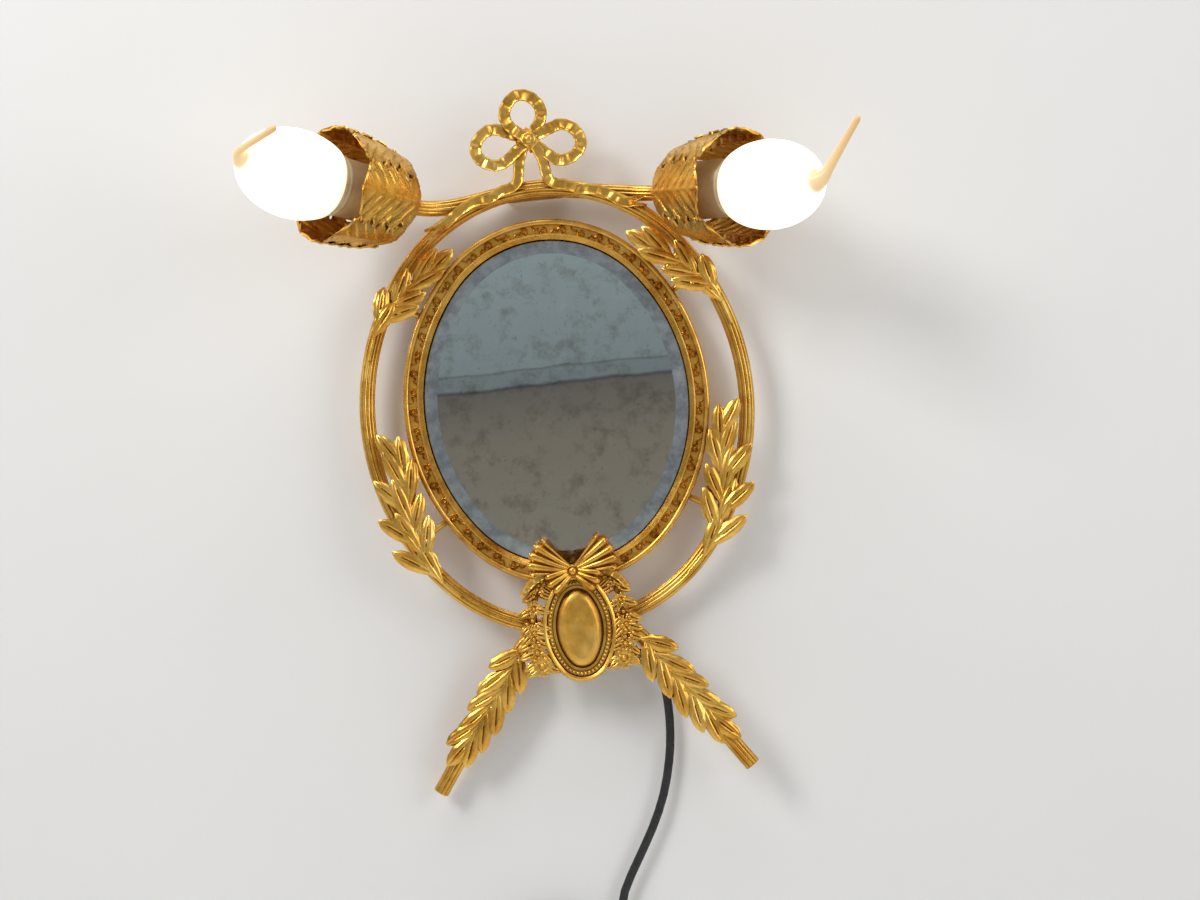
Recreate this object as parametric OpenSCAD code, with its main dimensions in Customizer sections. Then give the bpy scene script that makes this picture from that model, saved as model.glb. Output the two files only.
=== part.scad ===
// Oval girandole wall mirror of gilt bronze, with two electric lights.
// Two reeded laurel branches cross below and above an oval mirror and end in leaf cups that hold the lamps.
// Face frame used by the shapes: x to the right, y up, z out of the wall, origin at the hanging hole.

/* [Ring and branches] */
// Half width of the oval ring, to the stem's centre
ring_w = 114; // [110:1:120]
// Half height of the oval ring, to the stem's centre
ring_h = 132; // [128:1:138]
// Height of the ring's middle plane above the wall
ring_z = 16; // [16:0.5:19]
// Diameter of a stem over its reeds
stem_d = 9.4; // [8.6:0.1:9.8]
// Number of reeds round a stem
stem_reeds = 10; // [8:1:12]
// Depth of the grooves between the reeds
reed_depth = 0.6; // [0.3:0.1:0.8]
// Bore of a stem, which its wire runs through
stem_bore = 4.6; // [4:0.1:5]
// Gap between the two stems where they cross
crossing_gap = 0.3; // [0.2:0.1:0.6]
// Straight run of a stem past the lower crossing
crossing_run = 14; // [10:1:18]
// Radius of the bend at the top of a leg
leg_bend_r = 30; // [26:1:34]
// Slope of the legs
leg_slope = 55; // [50:1:60]
// Straight length of a leg
leg_length = 97; // [80:1:110]

/* [Arms] */
// Angle that an arm follows the ring past the upper crossing
arm_drop = 9; // [7:1:11]
// Straight run of the left arm
left_arm_run = 25; // [20:1:32]
// Straight run of the right arm
right_arm_run = 33; // [26:1:38]
// Radius of the bend that brings the arm off the wall
arm_bend_r = 45; // [38:1:52]
// Straight end of an arm
arm_end = 8; // [6:1:14]
// Turn of the left arm off the wall
left_turn = 50; // [40:1:56]
// Rise of the left arm's bend above the level
left_rise = 26; // [15:1:40]
// Turn of the right arm off the wall
right_turn = 50; // [44:1:56]
// Rise of the right arm's bend above the level
right_rise = -3; // [-10:1:20]
// Diameter of the threaded spigot at the end of an arm
spigot_d = 8; // [7.6:0.1:8.4]
// Diameter of the shoulder that a leaf cup sits on
shoulder_d = 12.4; // [11:0.1:14]

/* [Mirror] */
// Half width of the mirror frame
frame_w = 92; // [90:1:96]
// Half height of the mirror frame
frame_h = 110; // [107:1:113]
// Height of the frame's centre above the ring's centre
frame_rise = 3.5; // [2:0.5:5]
// Width of the frame's band, seen from the front
frame_band = 12; // [10.5:0.5:14]
// Depth of the frame
frame_depth = 14; // [13:0.5:15]
// Height of the frame's back above the wall
frame_back = 5.2; // [5:0.1:6]
// Width of the lip that holds the glass
glass_lap = 4; // [3:0.5:5]
// Thickness of the glass
glass_t = 4; // [3.5:0.5:4.5]
// Width of the bevel on the glass
bevel_w = 12.4; // [9:0.2:14]
// Thickness of the glass's edge, outside the bevel
bevel_edge = 2; // [1.5:0.5:3]
// Thickness of the felt behind the glass
felt_t = 0.6; // [0.4:0.1:1]
// Length of a turn button
button_length = 17; // [15:1:19]
// Width of a turn button
button_w = 6.6; // [6:0.2:7]
// Thickness of a turn button
button_t = 1.4; // [1.2:0.1:1.6]

/* [Laurel] */
// Width of a laurel leaf
leaf_w = 6.4; // [5.5:0.1:7.5]
// Thickness of a laurel leaf
leaf_t = 1.8; // [1.4:0.1:2.2]
// Diameter of a twig
twig_d = 2.6; // [2.2:0.1:3]
// Diameter of a laurel berry
berry_d = 4.2; // [3.4:0.1:5]

/* [Bows] */
// Width of the ribbon of the top bow
ribbon_w = 7.2; // [6:0.2:8]
// Thickness of the ribbons
ribbon_t = 1.8; // [1.4:0.1:2.2]
// Depth of the ribbons' pleats
pleat = 0.5; // [0.3:0.1:0.7]
// Height of the top bow's knot above the hanging hole
bow_height = 28; // [26:1:31]
// Radius of the top bow's loops, to the ribbon's centre
bow_loop_r = 10; // [9:0.5:11]
// Width of the ribbon of the medallion's bow
small_ribbon_w = 5; // [4.4:0.2:5.6]

/* [Medallion] */
// Half width of the medallion
medallion_w = 22.2; // [21:0.2:24]
// Half height of the medallion
medallion_h = 31.8; // [30:0.2:34]
// Distance from the medallion's edge to the middle of its beads
bead_inset = 4.7; // [4.4:0.1:5]
// Number of beads
bead_count = 60; // [48:2:64]
// Diameter of a bead
bead_d = 2; // [1.6:0.1:2.1]
// Distance from the medallion's edge to the dome
dome_inset = 8.6; // [8.2:0.1:9.4]
// Height of the dome
dome_rise = 4.4; // [4.2:0.1:6]
// Width of a garland
garland_w = 11.6; // [10:0.2:13]

/* [Lights] */
// Radius of a leaf cup, outside
cup_r = 29; // [27:0.5:31]
// Length of a leaf cup
cup_length = 50; // [46:1:54]
// Thickness of a cup's leaves
cup_t = 1.4; // [1.2:0.1:1.8]
// Outer radius of the lampholder's skirt
holder_r = 17; // [16.4:0.2:18.4]
// Length of the lampholder, from the cup's seat to its mouth
holder_length = 50; // [48:1:54]
// Radius of the screw cap
cap_r = 13.05; // [12.85:0.05:13.25]
// Length of the screw cap's shell
cap_length = 24; // [22:1:26]
// Radius of the bulb's glass
bulb_r = 25.5; // [23:0.5:26]
// Half length of the bulb's glass, from its widest place to its end
bulb_half = 37; // [33:1:39]
// Length of the bulb's drawn tip
tip_length = 42; // [34:1:46]
// Turn of the left bulb's tip off its axis
left_tip_turn = 84; // [50:2:90]
// Turn of the right bulb's tip off its axis
right_tip_turn = 62; // [40:2:90]

/* [Fixings] */
// Radius of the hanging hole
hanger_r = 2.75; // [2.5:0.05:3]
// Thickness of the hanging plate
hanger_t = 2; // [1.6:0.1:2.4]
// Spacing of the hanging plate's screws
hanger_pitch = 30; // [28:1:34]
// Width of the junction box
box_w = 32; // [30:1:34]
// Height of the junction box
box_h = 19; // [18:0.5:20]
// Wall of the junction box
box_wall = 1.6; // [1.4:0.1:2]
// Diameter of the wires in the stems
wire_d = 3; // [2.6:0.1:3.2]
// Gap between faces that rest on one another
seat = 0.2; // [0.1:0.05:0.3]
// Gap between a part and a curved face or a part that turns
clearance = 0.3; // [0.2:0.05:0.4]

/* [Hidden] */

$fa = 5;
$fs = 0.5;

gilt = [0.83, 0.62, 0.26];
brass = [0.78, 0.63, 0.36];
dark = [0.14, 0.12, 0.11];
cream = [0.93, 0.88, 0.76];
silver = [0.72, 0.76, 0.78];
wood = [0.5, 0.36, 0.22];

stem_r = stem_d / 2;
lap = (stem_d + crossing_gap) / 2;
tilt = asin(lap / ring_h);
crossing_y = -2 * ring_h;
front_z = ring_z + lap + stem_r;
ring_end_r = end_radius(ring_w, ring_h);
ring_side_r = side_radius(ring_w, ring_h);
ring_side_a = side_angle(ring_w, ring_h);
frame_y = frame_rise - ring_h;
frame_front = frame_back + frame_depth;
trim_z = front_z + clearance;
plate_floor = 2;
plate_rim = 5;

// ---------- vectors, paths and sweeps ----------

function unit(v) = v / norm(v);

function turned(v, axis, a) = v * cos(a) + cross(axis, v) * sin(a) + axis * (axis * v) * (1 - cos(a));

function arc(centre, r, from, to, n) =
    [for (i = [0 : n]) let (a = from + (to - from) * i / n) centre + r * [cos(a), sin(a)]];

function reversed(list) = [for (i = [len(list) - 1 : -1 : 0]) list[i]];

function last(list) = list[len(list) - 1];

// A smooth curve through the points, with n steps from each to the next
function smooth(p, n) = concat(
    [for (i = [0 : len(p) - 2], k = [0 : n - 1])
        let (t = k / n, a = p[max(i - 1, 0)], b = p[i], c = p[i + 1], d = p[min(i + 2, len(p) - 1)])
        0.5 * (2 * b + (c - a) * t + (2 * a - 5 * b + 4 * c - d) * t * t
            + (3 * b - a - 3 * c + d) * t * t * t)],
    [last(p)]);

function tangent(p, i) = unit(p[min(i + 1, len(p) - 1)] - p[max(i - 1, 0)]);

// The vector across a path at each point, carried along it without twist
function sides_along(p, side, i = 0) = i == len(p) ? [] :
    let (t = tangent(p, i), n = unit(side - t * (t * side)))
    concat([n], sides_along(p, n, i + 1));

function tube_faces(rings, n) = concat(
    [[for (j = [0 : n - 1]) j]],
    [for (i = [0 : rings - 2], j = [0 : n - 1])
        [i * n + j, (i + 1) * n + j, (i + 1) * n + (j + 1) % n, i * n + (j + 1) % n]],
    [[for (j = [n - 1 : -1 : 0]) (rings - 1) * n + j]]);

function ngon(d, n) = [for (j = [0 : n - 1]) d / 2 * [cos(360 * j / n), sin(360 * j / n)]];

// Sweeps a section along a path; size scales the section at each point
module swept(p, section, side, size = []) {
    across = sides_along(p, side);
    points = [for (i = [0 : len(p) - 1], s = section)
        let (k = len(size) == 0 ? 1 : size[i])
        p[i] + k * (s.x * across[i] + s.y * cross(tangent(p, i), across[i]))];
    polyhedron(points = points, faces = tube_faces(len(p), len(section)), convexity = 6);
}

module rod(from, to, d) {
    v = to - from;
    translate(from) rotate([0, acos(v.z / norm(v)), atan2(v.y, v.x)]) cylinder(d = d, h = norm(v));
}

// Stands the face frame up: its y becomes +Z and its z becomes -Y
module upright() {
    rotate([90, 0, 0]) children();
}

// ---------- ovals drawn from four centres ----------

function end_radius(w, h) = norm([w, h]) * (norm([w, h]) - (h - w)) / (2 * h);
function side_radius(w, h) = norm([w, h]) * (norm([w, h]) + (h - w)) / (2 * w);
function side_angle(w, h) = atan2(h - end_radius(w, h), side_radius(w, h) - w);

// The point of an oval at a fraction of its outline, and the outward direction there
function oval_place(w, h, inset, fraction) =
    let (r = end_radius(w, h), R = side_radius(w, h), a = side_angle(w, h),
        side_l = 2 * a * (R - inset), end_l = (180 - 2 * a) * (r - inset),
        s = (fraction - floor(fraction)) * 2 * (side_l + end_l))
    s < side_l ? oval_ray([w - R, 0], R - inset, -a + s / (R - inset)) :
    s < side_l + end_l ? oval_ray([0, h - r], r - inset, a + (s - side_l) / (r - inset)) :
    s < 2 * side_l + end_l ?
        oval_ray([R - w, 0], R - inset, 180 - a + (s - side_l - end_l) / (R - inset)) :
    oval_ray([0, r - h], r - inset, 180 + a + (s - 2 * side_l - end_l) / (r - inset));
function oval_ray(centre, r, a) = [centre + r * [cos(a), sin(a)], a];

// A flat oval, drawn in from the outline
module oval(w, h, inset) {
    r = end_radius(w, h);
    R = side_radius(w, h);
    top = h - r + (r - inset) * sin(side_angle(w, h));
    intersection() {
        translate([w - R, 0]) circle(R - inset);
        translate([R - w, 0]) circle(R - inset);
        translate([-w, -top]) square([2 * w, 2 * top]);
    }
    for (end = [-1, 1]) translate([0, end * (h - r)]) circle(r - inset);
}

// A solid turned about the four centres; edge holds [distance from the outline, height] points.
// The sectors overlap by a hair, so that they join.
module oval_turned(w, h, edge) {
    r = end_radius(w, h);
    R = side_radius(w, h);
    a = side_angle(w, h);
    join = 0.05;
    oval_sector([w - R, 0], R, R - w - 1, -a - join, a + join, edge);
    oval_sector([0, h - r], r, 0, a - join, 180 - a + join, edge);
    oval_sector([R - w, 0], R, R - w - 1, 180 - a - join, 180 + a + join, edge);
    oval_sector([0, r - h], r, 0, 180 + a - join, 360 - a + join, edge);
}

// A domed solid whose rings lie at the edge's points
module oval_shell(w, h, edge, n) {
    points = [for (e = edge, i = [0 : n - 1]) let (p = oval_place(w, h, -e.x, i / n)[0]) [p.x, p.y, e.y]];
    polyhedron(points = points, faces = tube_faces(len(edge), n), convexity = 2);
}

module oval_sector(centre, r, inner, from, to, edge) {
    section = concat([[inner, edge[0].y]], [for (e = edge) [r + e.x, e.y]], [[inner, last(edge).y]]);
    translate(centre) rotate_extrude(angle = to - from, start = from) polygon(section);
}

// ---------- the course of a branch ----------
// A place on a course is [point, direction, towards the ring's centre, out of the wall].
// A step is [length] for a straight, or [radius, angle, clock] for a bend: clock 0 bends towards
// the ring's centre and clock 90 bends out of the wall.

stem_step = 10.5;

function moved(at, step, part) =
    len(step) == 1 ? [at[0] + part * step[0] * at[1], at[1], at[2], at[3]] :
    let (d = cos(step[2]) * at[2] + sin(step[2]) * at[3], axis = cross(at[1], d), a = part * step[1])
    [at[0] + step[0] * (sin(a) * at[1] + (1 - cos(a)) * d),
        turned(at[1], axis, a), turned(at[2], axis, a), turned(at[3], axis, a)];

function step_count(step) =
    len(step) == 1 ? 1 : ceil(max(step[0] * step[1] * PI / 180 / stem_step, step[1] / 12));

function course(at, steps, i = 0) = i == len(steps) ? [] :
    let (n = step_count(steps[i]), places = [for (k = [1 : n]) moved(at, steps[i], k / n)])
    concat(places, course(last(places), steps, i + 1));

// The branches are told apart by the layer that they cross in above the mirror: 1 in front, -1 behind
function top_place(layer, way) =
    let (a = layer * tilt)
    [[0, 0, ring_z + layer * lap], [way, 0, 0], [0, -cos(a), -sin(a)], [0, -sin(a), cos(a)]];

upper_arc = [ring_end_r, 90 - ring_side_a, 0];
side_arc = [ring_side_r, 2 * ring_side_a, 0];
leg_steps = [[crossing_run], [leg_bend_r, leg_slope, 180], [leg_length]];

function arm_steps(layer) =
    let (run = layer > 0 ? left_arm_run : right_arm_run,
        turn = layer > 0 ? left_turn : right_turn, rise = layer > 0 ? left_rise : right_rise)
    [[ring_end_r, arm_drop, 0], [run], [arm_bend_r, turn, 90 + rise], [arm_end]];

function arm_tip(layer) = last(course(top_place(layer, -1), arm_steps(layer)));

// Where the wire enters the stem, short of the lower crossing
entry_angle = 18;
entry_d = 7;
function wire_course(layer) = concat(
    reversed(course(top_place(layer, 1),
        [upper_arc, side_arc, [ring_end_r, upper_arc[1] - entry_angle, 0]])),
    [top_place(layer, -1)],
    course(top_place(layer, -1), arm_steps(layer)));

function branch_course(layer) = concat(
    reversed(course(top_place(layer, 1), concat([upper_arc, side_arc, upper_arc], leg_steps))),
    [top_place(layer, -1)],
    course(top_place(layer, -1), arm_steps(layer)));

module along_course(places, section) {
    points = [for (at = places, s = section) at[0] + s.x * at[2] + s.y * at[3]];
    polyhedron(points = points, faces = tube_faces(len(places), len(section)), convexity = 10);
}

// Puts its children at a place, with +x, +y and +z along the place's own three directions
module at_place(at, x, y, z) {
    multmatrix([
        [x.x, y.x, z.x, at.x],
        [x.y, y.y, z.y, at.y],
        [x.z, y.z, z.z, at.z],
        [0, 0, 0, 1]
    ]) children();
}

// The right branch is drawn as a left one and mirrored
module on_side(layer) {
    upright() mirror([layer > 0 ? 0 : 1, 0, 0]) children();
}

module on_arm(layer) {
    at = arm_tip(layer);
    on_side(layer) at_place(at[0], at[2], at[3], at[1]) children();
}

// ---------- branches ----------

spigot_length = 11;
shoulder_t = 2.5;
bolt_d = 4;
plate_screw_d = 2.4;

module stem_section_sweep(layer) {
    reeds = [for (k = [0 : 2 * stem_reeds - 1])
        (stem_r - (k % 2) * reed_depth) * [cos(180 * k / stem_reeds), sin(180 * k / stem_reeds)]];
    along_course(branch_course(layer), reeds);
}

module branch(layer) {
    tip = arm_tip(layer);
    bore = ngon(stem_bore / cos(22.5), 8);
    entry = wire_course(layer)[0];
    color(gilt) on_side(layer) difference() {
        union() {
            stem_section_sweep(layer);
            at_place(tip[0], tip[2], tip[3], tip[1]) {
                translate([0, 0, -shoulder_t]) cylinder(d = shoulder_d, h = shoulder_t);
                cylinder(d = spigot_d, h = spigot_length);
            }
        }
        along_course(wire_course(layer), bore);
        at_place(tip[0], tip[2], tip[3], tip[1]) cylinder(d = stem_bore, h = 3 * spigot_length, center = true);
        at_place(entry[0], entry[1], entry[2], -entry[3]) cylinder(d = entry_d, h = stem_d, $fn = 12);
        translate([0, crossing_y, 0]) cylinder(d = bolt_d + 2 * seat, h = 2 * ring_z);
        if (layer < 0)
            for (x = [-1, 1]) translate([x * hanger_pitch / 2, hanger_foot_y, 0])
                cylinder(d = plate_screw_d + 2 * seat, h = hanger_screw_length + seat);
    }
}

module left_branch() branch(1);
module right_branch() branch(-1);

// Bolt, washer and nut that clamp both stems to the medallion
bolt_head_t = 2.4;
nut_t = 2.6;
crossing_back = ring_z - lap - stem_r;
module crossing_bolt() color(brass) upright() translate([0, crossing_y, 0]) {
    translate([0, 0, crossing_back - clearance - bolt_head_t]) {
        cylinder(d = 7, h = bolt_head_t);
        cylinder(d = bolt_d, h = trim_z + plate_floor + nut_t + seat - (crossing_back - clearance - bolt_head_t));
    }
    translate([0, 0, trim_z + plate_floor + seat]) difference() {
        cylinder(d = 7.6, h = nut_t, $fn = 6);
        translate([0, 0, -1]) cylinder(d = bolt_d + 0.1, h = nut_t + 2);
    }
}

// ---------- mirror ----------

lip_z = 9;
rebate = frame_band - glass_lap - clearance;
channel_z = 12;

// Raised beads at both edges of the band, a flat channel for its ornament, and a sloping inner lip
frame_front_edge = concat(
    [[0, 0]],
    arc([-1.8, channel_z], 1.8, 0, 150, 8),
    [[-3.6, channel_z], [-frame_band + 3.8, channel_z]],
    arc([-frame_band + 2.9, channel_z], 0.9, 0, 180, 6),
    [[-frame_band - 1, lip_z - 0.3]]);

module frame_cut() {
    translate([0, 0, -1]) linear_extrude(lip_z + 1) oval(frame_w, frame_h, rebate);
    linear_extrude(frame_depth + 1) oval(frame_w, frame_h, frame_band);
}

// Distance from a point of the ring, along u, to the frame's side arc
lug_angle = 30;
function lug_reach(p, u) =
    let (R = side_radius(frame_w, frame_h), d = p - [frame_w - R, frame_y], b = d * u)
    -b - sqrt(b * b - (d * d - R * R));

module frame_lug(layer, upper) {
    a = upper ? ring_side_a - lug_angle : ring_side_a + lug_angle;
    at = last(course(top_place(layer, 1), [upper_arc, [ring_side_r, a, 0]]));
    p = [at[0].x, at[0].y];
    u = unit([at[2].x, at[2].y]);
    foot = p + u * (lug_reach(p, u) + 2);
    from = [foot.x, foot.y, frame_back + frame_depth / 2];
    to = at[0] - (stem_r + clearance) * unit(at[0] - from);
    mirror([layer > 0 ? 0 : 1, 0, 0]) rod(from, to, 3.6);
}

module mirror_frame() color(gilt) upright() {
    difference() {
        union() {
            translate([0, frame_y, frame_back]) oval_turned(frame_w, frame_h, frame_front_edge);
            for (layer = [-1, 1], upper = [true, false]) frame_lug(layer, upper);
        }
        translate([0, frame_y, frame_back]) frame_cut();
        for (k = [0 : 3]) button_place(k) translate([0, 0, -seat]) cylinder(d = 2.2, h = 6);
    }
}

glass_inset = frame_band - glass_lap;
glass_front = frame_back + lip_z - seat;
module mirror_glass() color(silver) upright() translate([0, frame_y, glass_front - glass_t])
    oval_turned(frame_w, frame_h,
        [[-glass_inset, 0], [-glass_inset, bevel_edge], [-glass_inset - bevel_w, glass_t]]);

felt_z = glass_front - glass_t - seat / 2 - felt_t;
module backing_felt() color(dark) upright() translate([0, frame_y, felt_z])
    linear_extrude(felt_t) oval(frame_w, frame_h, glass_inset + 0.5);

board_z = frame_back;
module backboard() color(wood) upright() translate([0, frame_y, board_z])
    linear_extrude(felt_z - seat / 2 - board_z) oval(frame_w, frame_h, glass_inset);

// Turn buttons swing on screws in the frame's back, where its end and side arcs meet
button_inset = 3.9;
function button_angle(k) = [1, -1, 1, -1][k] * side_angle(frame_w, frame_h) + (k == 1 || k == 2 ? 180 : 0);
module button_place(k) {
    a = button_angle(k);
    r = end_radius(frame_w, frame_h);
    y = (k < 2 ? 1 : -1) * (frame_h - r);
    translate([0, frame_y + y, frame_back]) rotate(a) translate([r - button_inset, 0, 0]) rotate(180)
        children();
}

module turn_button(k) color(brass) upright() button_place(k) translate([0, 0, -seat - button_t]) difference() {
    union() {
        cylinder(d = button_w, h = button_t);
        translate([0, -button_w / 2, 0]) cube([button_length - button_w, button_w, button_t]);
        translate([button_length - button_w, 0, 0]) cylinder(d = button_w, h = button_t);
    }
    translate([0, 0, -1]) cylinder(d = 2.5, h = button_t + 2);
}
module upper_right_button() turn_button(0);
module upper_left_button() turn_button(1);
module lower_left_button() turn_button(2);
module lower_right_button() turn_button(3);

module button_screws() color(brass) upright() for (k = [0 : 3]) button_place(k)
    translate([0, 0, -2 * seat - button_t]) {
        translate([0, 0, -1.3]) cylinder(d = 4.4, h = 1.3);
        cylinder(d = 2, h = button_t + 5);
    }

// ---------- hanging plate ----------

hanger_h = 10;
hanger_foot_y = -ring_end_r * (1 - cos(asin(hanger_pitch / 2 / ring_end_r)));
hanger_foot_top = crossing_back - seat;
hanger_screw_length = crossing_back + 1.5;

module hanging_plate() color(brass) upright() difference() {
    union() {
        translate([-hanger_pitch / 2, -hanger_h / 2, 0]) cube([hanger_pitch, hanger_h, hanger_t]);
        for (x = [-1, 1]) translate([x * hanger_pitch / 2, 0, 0]) {
            cylinder(d = hanger_h, h = hanger_t);
            translate([0, hanger_foot_y, 0]) cylinder(d = 7, h = hanger_foot_top);
        }
    }
    translate([0, 0, -1]) cylinder(r = hanger_r, h = hanger_t + 2);
    for (x = [-1, 1]) translate([x * hanger_pitch / 2, hanger_foot_y, 0]) {
        translate([0, 0, -1]) cylinder(d = plate_screw_d + 2 * seat, h = hanger_foot_top + 2);
        translate([0, 0, -0.01]) cylinder(d1 = 5, d2 = plate_screw_d + 2 * seat, h = 1.4);
    }
}

module hanging_screws() color(brass) upright() for (x = [-1, 1])
    translate([x * hanger_pitch / 2, hanger_foot_y, 0.1]) {
        cylinder(d1 = 4.6, d2 = plate_screw_d, h = 1.3);
        cylinder(d = plate_screw_d, h = hanger_screw_length - 0.1);
    }

// ---------- laurel ----------

// Half width of a laurel leaf along its length, as a share of the leaf's width
function leaf_shape(t) = sin(180 * pow(t, 0.85)) / 2;

module laurel_leaf(length, lift = 0) {
    stations = [0.12, 0.3, 0.5, 0.7, 0.87];
    function spine(t) = lift * t + 1.2 * t * (1 - t);
    rings = [for (t = stations)
        let (x = length * t, y = leaf_w * leaf_shape(t), z = spine(t), k = 0.4 + 1.2 * leaf_shape(t))
        each [[x, -y, z], [x, 0, z - 0.35 * k * leaf_t], [x, y, z], [x, 0, z + 0.65 * k * leaf_t]]];
    n = 4 * len(stations);
    polyhedron(
        points = concat(rings, [[0, 0, spine(0)], [length, 0, spine(1)]]),
        faces = concat(
            [for (j = [0 : 3]) [n, j, (j + 1) % 4]],
            [for (i = [0 : len(stations) - 2], j = [0 : 3])
                [4 * i + j, 4 * i + 4 + j, 4 * i + 4 + (j + 1) % 4, 4 * i + (j + 1) % 4]],
            [for (j = [0 : 3]) [n + 1, n - 4 + (j + 1) % 4, n - 4 + j]]));
}

// The point at a distance along a twig's own points
function along_twig(p, s, i = 0) =
    let (d = norm(p[i + 1] - p[i]))
    s <= d || i == len(p) - 2 ? p[i] + (p[i + 1] - p[i]) * s / d : along_twig(p, s - d, i + 1);

// A sprig lies on a stem: leaves hold [distance along the twig, heading, length], berries hold points
module sprig(twig, leaves, berries) {
    twig_z = stem_r + seat + twig_d / 2;
    leaf_z = stem_r + seat + twig_d;
    swept([for (p = smooth(twig, 3)) [p.x, p.y, twig_z]], ngon(twig_d, 6), [0, 0, 1]);
    for (leaf = leaves)
        let (p = along_twig(twig, leaf[0]))
            translate([p.x, p.y, leaf_z]) rotate(leaf[1]) translate([-1.5, 0, -0.5]) laurel_leaf(leaf[2] + 1.5, 1);
    for (b = berries) {
        translate([b.x, b.y, leaf_z + 0.3]) sphere(d = berry_d, $fn = 10);
    }
}

// Ring sprigs grow upwards along the ring; their second number leans in towards the mirror
module ring_laurel(layer, start, twig, leaves, berries) {
    at = last(course(top_place(layer, 1), start));
    color(gilt) on_side(layer) at_place(at[0], -at[1], at[2], at[3]) sprig(twig, leaves, berries);
}

upper_start = [upper_arc, [ring_side_r, 23, 0]];
upper_twig = [[-6, 0], [4, 0], [18, 1], [30, 8], [45, 17], [56, 28]];
upper_leaves = [[24, 0, 19], [25, 58, 24], [38, 7, 22], [37, 56, 18], [50, 48, 25], [56, 20, 24], [71, 20, 18]];
upper_berries = [[25, 12], [40, 21], [44, 14]];

lower_start = [upper_arc, side_arc, [ring_end_r, 4.5, 0]];
lower_twig = [[-6, 0], [6, 0], [21, 1], [42, 13], [54, 25], [70, 39]];
lower_leaves = [[27, -4, 28], [33, 69, 28], [51, -2, 27], [50, 71, 20], [68, 52, 24], [73, 10, 30], [89, 15, 22]];
lower_berries = [[30, 13], [48, 25], [58, 25]];

module upper_right_laurel() ring_laurel(1, upper_start, upper_twig, upper_leaves, upper_berries);
module upper_left_laurel() ring_laurel(-1, upper_start, upper_twig, upper_leaves, upper_berries);
module lower_right_laurel() ring_laurel(1, lower_start, lower_twig, lower_leaves, lower_berries);
module lower_left_laurel() ring_laurel(-1, lower_start, lower_twig, lower_leaves, lower_berries);

// Leg sprigs grow down the legs; positive headings lean outwards
leg_twig = [[-3, 0], [6, 0], [24, -1], [44, 1], [61, 0]];
leg_leaves = [[3, 30, 24], [5, -30, 27], [17, 22, 30], [19, -26, 20], [41, -18, 25], [46, 17, 28], [58, 10, 24]];
leg_berries = [[3, -2.4], [36, -2], [33, 2.4]];

module leg_laurel(layer) {
    at = last(course(top_place(layer, 1),
        concat([upper_arc, side_arc, upper_arc], [leg_steps[0], leg_steps[1]])));
    color(gilt) on_side(layer) at_place(at[0], at[1], -at[2], at[3]) mirror([0, 1, 0])
        sprig(leg_twig, leg_leaves, leg_berries);
}
module left_leg_laurel() leg_laurel(1);
module right_leg_laurel() leg_laurel(-1);

// ---------- bows ----------

pleat_pitch = 2.4;

// The ribbon's centre line round a loop that leaves the knot along +x and comes back over itself
loop_rise = ribbon_t + pleat + 0.2;
function loop_line(reach, r) =
    let (b = acos(r / reach), n = ceil(2 * r * (180 - b) * PI / 180 / pleat_pitch),
        m = ceil(reach * sin(b) / pleat_pitch), round = arc([reach, 0], r, 180 - b, b - 180, n),
        flat = concat([for (i = [2 : m - 1]) round[0] * i / m], round,
            [for (i = [m - 1 : -1 : 2]) last(round) * i / m]))
    [for (i = [0 : len(flat) - 1]) [flat[i].x, flat[i].y, loop_rise * i / (len(flat) - 1)]];

function spaced(p) = smooth(p, 5);

module ribbon(line, w) {
    p = [for (i = [0 : len(line) - 1]) [line[i].x, line[i].y, (len(line[i]) > 2 ? line[i].z : 0) + pleat * (i % 2 - 0.5)]];
    flat = [line[1].x - line[0].x, line[1].y - line[0].y];
    swept(p, [[w / 2, ribbon_t / 2], [-w / 2, ribbon_t / 2], [-w / 2, -ribbon_t / 2], [w / 2, -ribbon_t / 2]],
        [-flat.y, flat.x, 0]);
}

// A knot of wound ribbon: a button turned with a raised rim and a raised middle
module knot(d, rise) {
    rotate_extrude($fn = 12) polygon(concat(
        [[0, 0], [d * 0.46, 0]],
        arc([d * 0.36, rise * 0.72], d * 0.14, -60, 170, 5),
        [[d * 0.18, rise * 0.66]],
        arc([0, rise * 0.66], d * 0.14, 20, 90, 2)));
}

function ring_top(way, a) = [way * ring_end_r * sin(a), ring_end_r * (cos(a) - 1)];
function raised(p, z) = [p.x, p.y, z];

ribbon_z = trim_z + ribbon_t / 2 + pleat;
// Forked end of a ribbon
module fork(at, heading, w) {
    translate(at) rotate(heading) translate([0, 0, -ribbon_t / 2 + 0.15]) linear_extrude(ribbon_t - 0.4)
        polygon([[-2, w / 2], [-2, -w / 2], [8, -w / 2 - 1], [3, 0], [8, w / 2 + 1]]);
}

// The tails fall from the knot and follow the ring's stems
tail_end = 35;
function tail(way, z_end) = concat(
    [raised([way * 5, bow_height - 4], ribbon_z), raised([way * 7, bow_height * 0.45], ribbon_z),
        raised([way * 9, 2], ribbon_z)],
    [for (a = [10, 18, 26, 31]) raised(ring_top(way, a), ribbon_z)],
    [raised(ring_top(way, tail_end), z_end)]);

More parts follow.
